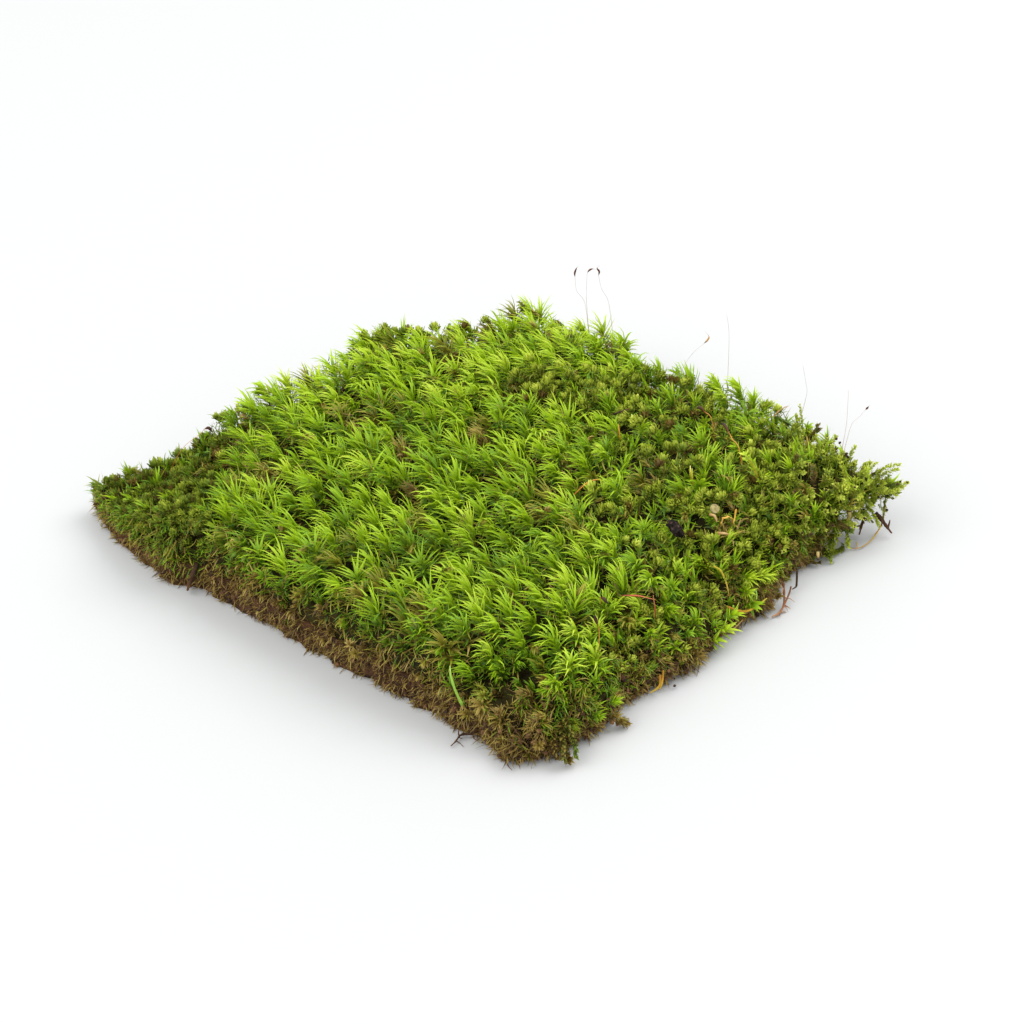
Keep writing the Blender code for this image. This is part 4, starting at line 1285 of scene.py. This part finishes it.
# thin bits too small for a solid of their own: radius, half width, route, and the finish they share
strands = {
    "orange_stalk": (0.16, 0, [(23.9, 21.2, 25), (23.4, 20.9, 29), (22.4, 21.6, 31)], "arch_stalk"),
    "red_upright": (0.18, 0, [(80.2, -27.9, 17), (81.6, -30.3, 23), (82.5, -32.2, 28)], "red_stalk"),
    "green_hook": (0.3, 0, [(50.6, 21.8, 23), (51, 20.4, 27.5), (50, 21.4, 29)], "yellow_shoot"),
    "bright_leaf": (0.15, 0.35, [(52.6, 20, 24), (52.6, 19.2, 28), (51.8, 20, 29.6)], "yellow_shoot"),
    "dark_twig": (0.3, 0, [(13.4, 29.8, 27), (15.3, 31.7, 28), (15.8, 34.2, 28)], "root_left"),
    "brown_leaf": (0.2, 0.6, [(46.8, 63.6, 25), (48, 65.3, 27.5), (48.8, 68.1, 28)], "tan_leaf"),
    "orange_blade": (0.2, 0.9, [(88.2, -34.7, 6), (89.1, -35.9, 3.4), (88, -38.6, 1.9)], "straw_2"),
    "orange_blade_2": (0.15, 0.7, [(88.3, -33.6, 7), (89.3, -35, 4.4), (89.6, -36.2, 2.8)], "straw_2"),
    "yellow_blade": (0.15, 0.5, [(80.5, -50.5, 14), (83.4, -51, 17.5), (84.4, -49.6, 17.4)], "pale_stem"),
    "orange_strand": (
        0.28, 0,
        [(71.5, 16, 26), (71.9, 15.2, 27), (72.7, 13.9, 26), (73.5, 12.6, 25)],
        "straw_2",
    ),
    "tan_bit": (0.3, 1.0, [(67.6, 8.8, 26.6), (68.9, 9.5, 26.4), (70.1, 9.3, 25)], "tan_leaf"),
    "pink_bit": (0.3, 0.7, [(73.7, 5.2, 25), (75.2, 6.1, 25.2), (75.9, 7.4, 24.6)], "tan_leaf"),
    "tan_husk_stalk": (
        0.3, 0.6,
        [(84, 53.4, 13.3), (83.7, 54.1, 11.2), (82.8, 54, 9.2), (82.1, 53.5, 7.5)],
        "straw_3",
    ),
    "pale_flake": (0.25, 1.0, [(83.1, 40.6, 5.4), (83.6, 40.1, 4.8), (84, 39.8, 4)], "straw_3"),
    "curled_green_leaf": (
        0.15, 0.4,
        [(86.8, 5.5, 8), (86.3, 6.1, 9.5), (86.1, 7.6, 10.5), (87.4, 6.8, 10), (87.9, 5.9, 9)],
        "pale_stem",
    ),
    "tip_rootlet": (
        0.2, 0,
        [(76.6, -82.4, 2.4), (78.6, -83.6, 1.2), (80.4, -84.7, 0.7), (82.2, -85.1, 0.6)],
        "root_near",
    ),
    "curly_branch": (0.16, 0, [(89, 17.6, 1.8), (90, 17.9, 1.5), (91, 18.3, 1)], "root_right_1"),
    "curly_branch_low": (0.16, 0, [(89.8, 14.6, 0.8), (90.4, 14.1, 0.7), (91, 13.8, 0.6)], "root_right_1"),
    "floor_leaf": (0.15, 0.6, [(84.6, 57.6, 1), (85.2, 57.2, 0.9), (86.5, 55.5, 0.6)], "straw_3"),
    "curly_twig": (
        0.24, 0,
        [(87.2, 23, 4.4), (87.9, 21.3, 3), (89.3, 17.2, 1.6), (89.9, 14.5, 0.8), (89.3, 12, 0.6)],
        "root_right_1",
    ),
    "hanging_twig": (
        0.3, 0,
        [(85, 28.4, 6), (86.2, 27, 3), (86.1, 26.9, 1.6), (85.4, 26.2, 0.8)],
        "root_left",
    ),
    "near_twig": (0.24, 0, [(64.4, -84.8, 2.2), (64, -86, 2), (62.8, -85, 3.2)], "root_left"),
}


def through(points, steps):
    # a smooth curve through the points
    route = [np.array(p, float) for p in points]
    route = [2 * route[0] - route[1], *route, 2 * route[-1] - route[-2]]
    curve = []
    for a, b, c, d in zip(route, route[1:], route[2:], route[3:]):
        for step in range(steps):
            t = step / steps
            square, cube = 2 * a - 5 * b + 4 * c - d, 3 * b - a - 3 * c + d
            curve.append(b + ((c - a) * t + square * t**2 + cube * t**3) / 2)
    return [*curve, route[-2]]


def makeStem(name, branches, material, nodes, halfWidth=0.0):
    # round or flat stems: bevelled curves made into one mesh, its map read along each route
    bpy.ops.object.select_all(action="DESELECT")
    curve = bpy.data.curves.new(name, "CURVE")
    curve.dimensions = "3D"
    curve.bevel_depth = 1 * mm
    curve.bevel_resolution = 2
    curve.extrude = halfWidth * mm
    curve.use_fill_caps = True
    marks, shares = [], []
    for route, radii, share in branches:
        spline = curve.splines.new("POLY")
        spline.points.add(len(route) - 1)
        for point, spot, radius in zip(spline.points, route, radii):
            point.co = (*onMat(*spot), 1)
            point.radius = radius
            point.tilt = 1.3 if halfWidth else 0  # turns the face of a flat blade up
        marks += [onMat(*spot) for spot in route]
        shares += list(share)
    piece = bpy.data.objects.new(name, curve)
    bpy.context.collection.objects.link(piece)
    piece.select_set(True)
    bpy.context.view_layer.objects.active = piece
    bpy.ops.object.convert(target="MESH")
    piece = bpy.context.object
    selectVerts(piece, lambda co: True)
    bpy.ops.mesh.remove_doubles(threshold=0.000001)
    bpy.ops.mesh.normals_make_consistent(inside=False)
    bpy.ops.object.mode_set(mode="OBJECT")
    mesh = piece.data
    mesh.uv_layers[0].name = "OFBake"
    spots = np.array([vert.co for vert in mesh.vertices])
    nearest = np.linalg.norm(spots[:, None] - np.array(marks)[None], axis=2).argmin(1)
    for loop in mesh.loops:
        mesh.uv_layers[0].data[loop.index].uv = (shares[nearest[loop.vertex_index]], 0.5)
    settle(piece, material, nodes)


def blend(values, count):
    return np.interp(np.linspace(0, 1, count), np.linspace(0, 1, len(values)), values)


def lineAlong(route, radii, share=(0.02, 0.98)):
    return route, blend(radii, len(route)), np.linspace(*share, len(route))


def makeStalks(ground, pale, dark, golden):
    for number, (foot, stem, capsule) in enumerate(stalks, 1):
        node = f"sporophyte_{number:02}"
        start = (*foot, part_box(node)[0].z / mm - stalkHabit["rooted"])
        route = through([start, *stem, *capsule[:1]], 5)
        stout = number in stalkHabit["stout"]
        thin = stalkHabit["stoutRadius" if stout and number != stalkHabit["hairThin"] else "radius"]
        radii = list(blend((thin * 1.4, thin, thin), len(route)))
        share = list(np.linspace(0.02, 0.58, len(route)))
        if capsule:
            pod = through(capsule, 5)[1:]
            route = route + pod
            radii += list(blend(stalkHabit["stoutCapsule" if stout else "capsule"], len(pod)))
            share += list(np.linspace(0.64, 0.98, len(pod)))
        cleared = []
        for k, spot in enumerate(route):
            below = ground.height(*onMat(*spot)[:2])
            lowest = below / mm + 0.3 if below and k > len(route) // 2 else 0
            cleared.append((spot[0], spot[1], max(spot[2], lowest)))
        material = dark if stout else golden if number == stalkHabit["golden"] else pale
        makeStem(f"stalk_{number:02}", [(cleared, radii, share)], material, [node])


def lowered(node, radius, points):
    # a lying stem's route, brought down onto the tufts as its solid is
    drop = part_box(node)[0].z / mm - min(z for _, _, z in points) + radius
    return [(x, y, z + drop) for x, y, z in points]


def sideTwigs(route, radius, count, reach):
    twigs = []
    for k in range(count):
        start = route[int(len(route) * (k + 1) / (count + 1.5))]
        way = dice.normal(0, 1, 3) * (1, 1, 0.3) + (0, 0, -0.3)
        way = way / np.linalg.norm(way) * reach * dice.uniform(0.5, 1.1)
        bendPoint = start + way * 0.5 + dice.normal(0, 0.4, 3)
        points = [(x, y, max(z, radius * 0.5)) for x, y, z in (start, bendPoint, start + way)]
        twigs.append(lineAlong(through(points, 3), (radius * 0.5, radius * 0.15), (0.5, 0.98)))
    return twigs


def makeLitter(finishes):
    for name, (radius, halfWidth, points) in litter.items():
        points = lowered(name, radius + halfWidth * 0.5, points)
        route = through(points, 6)
        radii = (radius * 0.7, radius, radius * 0.9, radius * 0.25)
        makeStem(name + "_stem", [lineAlong(route, radii)], finishes[name], [name], halfWidth)
    for name, (radius, halfWidth, points) in roots.items():
        route = through(points, 5)
        radii = blend((radius, radius * 0.8, radius * 0.35), len(route)) * dice.uniform(0.8, 1.25, len(route))
        main = (route, radii, np.linspace(0.02, 0.98, len(route)))
        isStraw = name == "root_loop" or "straw" in name or "stem" in name
        twigs = [] if isStraw else sideTwigs(route, radius, 4, 3.2)
        makeStem(name + "_fibres", [main, *twigs], finishes[name], [name], halfWidth)
    for name, (radius, halfWidth, points, finish) in strands.items():
        line = lineAlong(through(points, 6), (radius, radius, radius * 0.4))
        makeStem(name, [line], finishes[finish], [], halfWidth)


def growShootLeaves(material):
    # the ragged leaves of the yellow shoot
    radius, _, points = litter["yellow_shoot"]
    route = [onMat(*spot) for spot in through(lowered("yellow_shoot", radius, points), 5)]
    ragged = dict(sprig, leafLength=2.6 * mm, leafWidth=0.9 * mm, leafGap=0.22 * mm)
    heap = Heap()
    addSprig(heap, route, ragged, 0.98)
    heap.makePiece("yellow_shoot_leaves", material, "straw", ["yellow_shoot"])


# dry leaves round the curled one; lengths and widths in millimetres
tangle = {
    "leaves": 70,
    "reach": (0.5, 0.95),  # from the middle, in lengths of the curled leaf
    "sunk": 2.6,
    "length": (2.5, 5.0),
    "width": (0.25, 0.7),
    "tones": (0.1, 0.26),
}


def growTangle(material):
    low, high = (np.array(corner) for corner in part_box("curled_leaf"))
    count = tangle["leaves"]
    ring = dice.random(count) * math.tau
    reach = dice.uniform(*tangle["reach"], count)
    offsets = np.stack([np.cos(ring) * reach, np.sin(ring) * reach, np.full(count, -0.5)], axis=1)
    feet = (low + high) / 2 + (high - low) * offsets - up * tangle["sunk"] * mm
    first = unit(dice.normal(0, 0.7, (count, 3)) + up)
    target = unit(dice.normal(0, 1, (count, 3)) - up * 0.3)
    lengths = dice.uniform(*tangle["length"], count) * mm
    widths = dice.uniform(*tangle["width"], count) * mm
    bends = dice.uniform(0.6, 0.98, count)
    tones = dice.uniform(*tangle["tones"], count)
    heap = Heap()
    heap.grow("crisp", feet, first, target, bends, lengths, widths, tones)
    heap.makePiece("dry_leaf_tangle", material, "husk")


# the bark, the husk and the curled leaf: lengths in millimetres, turns in degrees

# grow: how large it is drawn, of the size of its solid
loose = {
    "bark": {"halfSizes": (4.8, 2.2, 2), "turn": -27, "chips": 7, "cut": 0.86, "rough": 0.42, "grow": 1.05},
    "husk": {
        "mouth": 0.78,
        "insets": ((0.1, 0.06), (0.08, -0.3), (0.06, -0.45)),  # thickness and depth, from the rim inwards
        "dent": 0.14,
        "grow": 1.06,
    },
    "curl": {
        "length": 6,
        "width": 2.4,
        "thickness": 0.2,
        "bend": 215,
        "turn": 47,
        "tip": 28,
        "ragged": 0.032,
        "columns": 30,
        "grow": 1.7,  # so that it shows between the dry leaves round it
    },
}


def modify(piece, kind, **settings):
    modifier = piece.modifiers.new(kind, kind)
    for key, value in settings.items():
        setattr(modifier, key, value)
    bpy.ops.object.modifier_apply(modifier=modifier.name)


def roughen(piece, kind, scale, strength):
    # pushes the points in and out by a cloudy pattern
    pattern = bpy.data.textures.new(piece.name + "_" + kind, kind)
    pattern.noise_scale = scale
    modify(piece, "DISPLACE", texture=pattern, strength=strength)


def finishShape(piece, node, material, grow):
    # to the place of its solid and, but for its turn, to its size
    low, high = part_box(node)
    bpy.ops.object.transform_apply(location=True, rotation=True, scale=True)
    spots = np.array([vert.co for vert in piece.data.vertices])
    middle = (spots.max(0) + spots.min(0)) / 2
    scale = min((high[k] - low[k]) / (spots[:, k].max() - spots[:, k].min()) for k in range(3)) * grow
    for vert in piece.data.vertices:
        vert.co = (vert.co - Vector(middle)) * scale + (low + high) / 2
    selectVerts(piece, lambda co: True)
    bpy.ops.mesh.normals_make_consistent(inside=False)
    bpy.ops.object.mode_set(mode="OBJECT")
    bpy.ops.object.shade_smooth_by_angle(angle=math.radians(40))
    settle(piece, material, [node])


def makeBark(material):
    habit = loose["bark"]
    piece = startShape("bark_bit", bpy.ops.mesh.primitive_cube_add, size=2)
    bpy.ops.object.mode_set(mode="EDIT")
    bpy.ops.mesh.subdivide(number_cuts=11)
    bpy.ops.object.mode_set(mode="OBJECT")
    modify(piece, "CAST", factor=0.55)
    for chip in range(habit["chips"]):  # broken facets, cut off one by one
        turn = chip * goldenTurn
        way = Vector((math.cos(turn), math.sin(turn), 0.6 * math.sin(chip * 2.3))).normalized()
        selectVerts(piece, lambda co: True)
        bpy.ops.mesh.bisect(plane_co=way * habit["cut"], plane_no=way, use_fill=True, clear_outer=True)
        bpy.ops.object.mode_set(mode="OBJECT")
    modify(piece, "REMESH", mode="VOXEL", voxel_size=0.07)
    roughen(piece, "VORONOI", 0.5, 0.34)
    roughen(piece, "CLOUDS", 0.22, habit["rough"])
    piece.scale = habit["halfSizes"]
    bpy.ops.object.transform_apply(scale=True)
    piece.rotation_euler = (0.1, 0.05, math.radians(habit["turn"]))
    finishShape(piece, "bark_crumb", material, habit["grow"])


def makeHusk(material):
    habit = loose["husk"]
    ball = {"segments": 28, "ring_count": 18, "radius": 1}
    piece = startShape("husk_shell", bpy.ops.mesh.primitive_uv_sphere_add, **ball)
    selectVerts(piece, lambda co: co.z > habit["mouth"])
    bpy.ops.mesh.select_mode(type="FACE")
    for thickness, depth in habit["insets"]:
        bpy.ops.mesh.inset(thickness=thickness, depth=depth)
    bpy.ops.object.mode_set(mode="OBJECT")
    roughen(piece, "CLOUDS", 0.8, 0.28)
    roughen(piece, "CLOUDS", 0.2, habit["dent"])
    piece.rotation_euler = (0.7, 0.3, 0.6)
    finishShape(piece, "seed_husk", material, habit["grow"])


def makeCurledLeaf(material):
    habit = loose["curl"]
    grid = {"x_subdivisions": habit["columns"], "y_subdivisions": 7, "size": 1}
    piece = startShape("curled_dry_leaf", bpy.ops.mesh.primitive_grid_add, **grid)
    for column in range(habit["columns"] + 1):
        x = column / habit["columns"] - 0.5
        selectVerts(piece, lambda co, at=x: abs(co.x - at) < 0.005)
        width = 0.3 + 0.7 * math.cos(x * math.pi) ** 0.7
        bpy.ops.transform.resize(value=(1, width, 1), center_override=(0, 0, 0))
        bpy.ops.transform.translate(value=(0, 0.05 * math.sin(column * 1.7), 0.06 * math.sin(column * 0.9)))
    selectVerts(piece, lambda co: abs(co.y) > 0.2)
    bpy.ops.transform.vertex_random(offset=habit["ragged"], seed=3)
    bpy.ops.object.mode_set(mode="OBJECT")
    piece.scale = (habit["length"], habit["width"], habit["width"])
    piece.rotation_euler = (math.pi / 2, 0, 0)  # on its edge, the way a bend about Z curls it
    bpy.ops.object.transform_apply(rotation=True, scale=True)
    modify(piece, "SIMPLE_DEFORM", deform_method="BEND", deform_axis="Z", angle=math.radians(habit["bend"]))
    modify(piece, "SOLIDIFY", thickness=habit["thickness"])
    modify(piece, "SUBSURF", levels=1, render_levels=1)
    piece.rotation_euler = (-math.pi / 2 - math.radians(habit["tip"]), 0, math.radians(habit["turn"]))
    finishShape(piece, "curled_leaf", material, habit["grow"])


# the build

# each foot is darker than its tip: partly painted shade where the leaves bundle, partly real, the young tips
# being yellower
broomLeafTones = [
    (0.0, (40, 26, 14), (98, 68, 40)), (0.1, (92, 74, 34), (158, 130, 70)),
    (0.2, (138, 112, 44), (208, 184, 96)), (0.32, (98, 96, 20), (190, 186, 60)),
    (0.42, (36, 70, 6), (88, 138, 22)), (0.55, (84, 126, 6), (158, 202, 32)),
    (0.75, (122, 164, 8), (196, 224, 46)), (1.0, (158, 188, 20), (228, 238, 88)),
]
broomLeaf = leafFinish("broom_leaf", broomLeafTones, 0.45, 0.36, ((104, 88, 36), (196, 232, 34)))
# each foot is darker than its tip: partly painted shade low in the head, partly real
knobLeafTones = [
    (0.0, (46, 28, 16), (86, 56, 30)), (0.14, (92, 72, 26), (158, 132, 58)),
    (0.28, (46, 66, 10), (96, 126, 28)), (0.5, (84, 102, 14), (166, 184, 52)),
    (0.75, (120, 138, 24), (204, 214, 80)), (1.0, (150, 164, 38), (228, 236, 112)),
]
knobLeaf = leafFinish("knob_leaf", knobLeafTones, 0.6, 0.35, ((84, 82, 26), (224, 232, 88)))
crumbTones = [(0.0, (38, 25, 16)), (0.6, (82, 53, 34)), (1.0, (126, 90, 58))]
crumbFinish = leafFinish("peat_crumb", [(place, tone, tone) for place, tone in crumbTones], 0.9)
# a very dark thatch: partly the real dead stems, partly painted shade of the gaps under the leaves
thatchAndPaintedShadeFinish = groundFinish("moss_thatch", [(0.35, (22, 20, 6)), (0.65, (54, 48, 16))], 260, 0.0015)
peatFinish = groundFinish("peat", [(0.35, (26, 16, 9)), (0.65, (84, 56, 34))], 300, 0.0012)
barkStops = [(0.4, (9, 7, 6)), (0.5, (26, 20, 16)), (0.61, (54, 40, 32)), (0.72, (156, 118, 114))]
barkFinish = groundFinish("bark", barkStops, 900, 0.0008)
huskStops = [(0.34, (108, 94, 58)), (0.5, (148, 134, 86)), (0.66, (186, 172, 120))]
huskFinish = groundFinish("husk", huskStops, 900, 0.0006, 0.6)
curlStops = [(0.34, (128, 84, 30)), (0.5, (204, 156, 66)), (0.66, (234, 198, 112))]
curlFinish = groundFinish("curled_leaf", curlStops, 500, 0.0002, 0.5)

makeCamera(photoView)
makeStudio(studio)
print("camera and studio")

mossGround = Ground(mossNodes)
wallGround = Ground((*mossNodes, "peat_base"))
rim = Rim(wallGround)
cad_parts["peat_base"].data.materials.clear()
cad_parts["peat_base"].data.materials.append(peatFinish)
for node in mossNodes:
    pressDown(node, rim, thatchAndPaintedShadeFinish)
print("thatch")

mixedSpots = growBroom(mossGround, rim, broomLeaf)
growSingles(rim, broomLeaf)
print("broom moss")
for node in mossNodes[1:]:
    growKnobPatch(node, rim, knobLeaf)
growMixedHeads(mixedSpots, mossGround, rim, knobLeaf)
makeDarkBuds(mossGround, crumbFinish)
growSprigs(rim, knobLeaf, crumbFinish)
print("knob moss")
growDeadLeaves(wallGround, broomLeaf)
growDeadShoots(wallGround, broomLeaf)
scatterCrumbs(wallGround, crumbFinish)
growRootlets(wallGround, broomLeaf)
print("walls")

palePods = [
    (0.0, (196, 150, 110)), (0.2, (232, 218, 206)), (0.58, (236, 222, 214)), (0.66, (116, 66, 44)),
    (0.84, (88, 48, 36)), (0.9, (224, 210, 204)),
]
darkPods = [
    (0.0, (190, 110, 40)), (0.3, (208, 150, 62)), (0.5, (204, 130, 56)), (0.62, (112, 54, 24)),
    (0.7, (66, 33, 16)), (0.84, (46, 24, 13)), (0.96, (18, 12, 9)),
]
goldenPods = [
    (0.0, (196, 150, 110)), (0.2, (232, 218, 206)), (0.58, (236, 222, 214)), (0.66, (104, 84, 70)),
    (0.72, (206, 150, 76)), (0.84, (224, 178, 100)), (0.9, (226, 208, 196)),
]
stalkPale = stemFinish("stalk_pale", palePods, 0.45, 0.2)
stalkDark = stemFinish("stalk_dark", darkPods, 0.5)
stalkGolden = stemFinish("stalk_golden", goldenPods, 0.45, 0.2)
loopStops = [
    (0.0, (108, 104, 40)), (0.3, (186, 122, 44)), (0.55, (196, 168, 60)), (0.85, (182, 138, 56)),
    (1.0, (120, 72, 40)),
]
# colours along each stem, roughness, and how much light comes through
stemColours = {
    "yellow_shoot": ([(0.0, (170, 150, 40)), (0.6, (214, 208, 70)), (1.0, (226, 226, 120))], 0.45, 0.25),
    "red_stalk": ([(0.0, (120, 50, 30)), (0.5, (190, 90, 56)), (1.0, (214, 140, 90))], 0.45, 0),
    "arch_stalk": ([(0.0, (200, 120, 40)), (1.0, (220, 160, 70))], 0.45, 0),
    "pale_stem": ([(0.0, (124, 160, 50)), (0.6, (140, 184, 66)), (1.0, (176, 206, 104))], 0.4, 0.15),
    "straw_1": ([(0.0, (206, 184, 50)), (0.6, (214, 188, 66)), (1.0, (160, 132, 48))], 0.5, 0.2),
    "straw_2": ([(0.0, (170, 118, 30)), (0.5, (206, 160, 44)), (1.0, (212, 194, 72))], 0.5, 0.3),
    "straw_3": ([(0.0, (206, 190, 120)), (0.5, (216, 190, 120)), (1.0, (170, 130, 70))], 0.5, 0.3),
    "root_loop": (loopStops, 0.55, 0),
    "tan_leaf": ([(0.0, (150, 108, 58)), (0.5, (204, 170, 112)), (1.0, (190, 140, 104))], 0.6, 0.2),
    "red_root": ([(0.0, (92, 56, 34)), (0.5, (140, 90, 56)), (1.0, (188, 142, 98))], 0.8, 0),
    "dark_root": ([(0.0, (36, 23, 11)), (0.5, (56, 36, 17)), (1.0, (98, 64, 35))], 0.8, 0),
}
stemFinishes = {name: stemFinish(name + "_finish", *values) for name, values in stemColours.items()}
for name in roots:
    stemFinishes.setdefault(name, stemFinishes["red_root" if "right" in name else "dark_root"])
makeStalks(mossGround, stalkPale, stalkDark, stalkGolden)
makeLitter(stemFinishes)
growShootLeaves(broomLeaf)
growTangle(broomLeaf)
print("stalks and litter")
makeBark(barkFinish)
makeHusk(huskFinish)
makeCurledLeaf(curlFinish)
print("bark, husk and curled leaf")
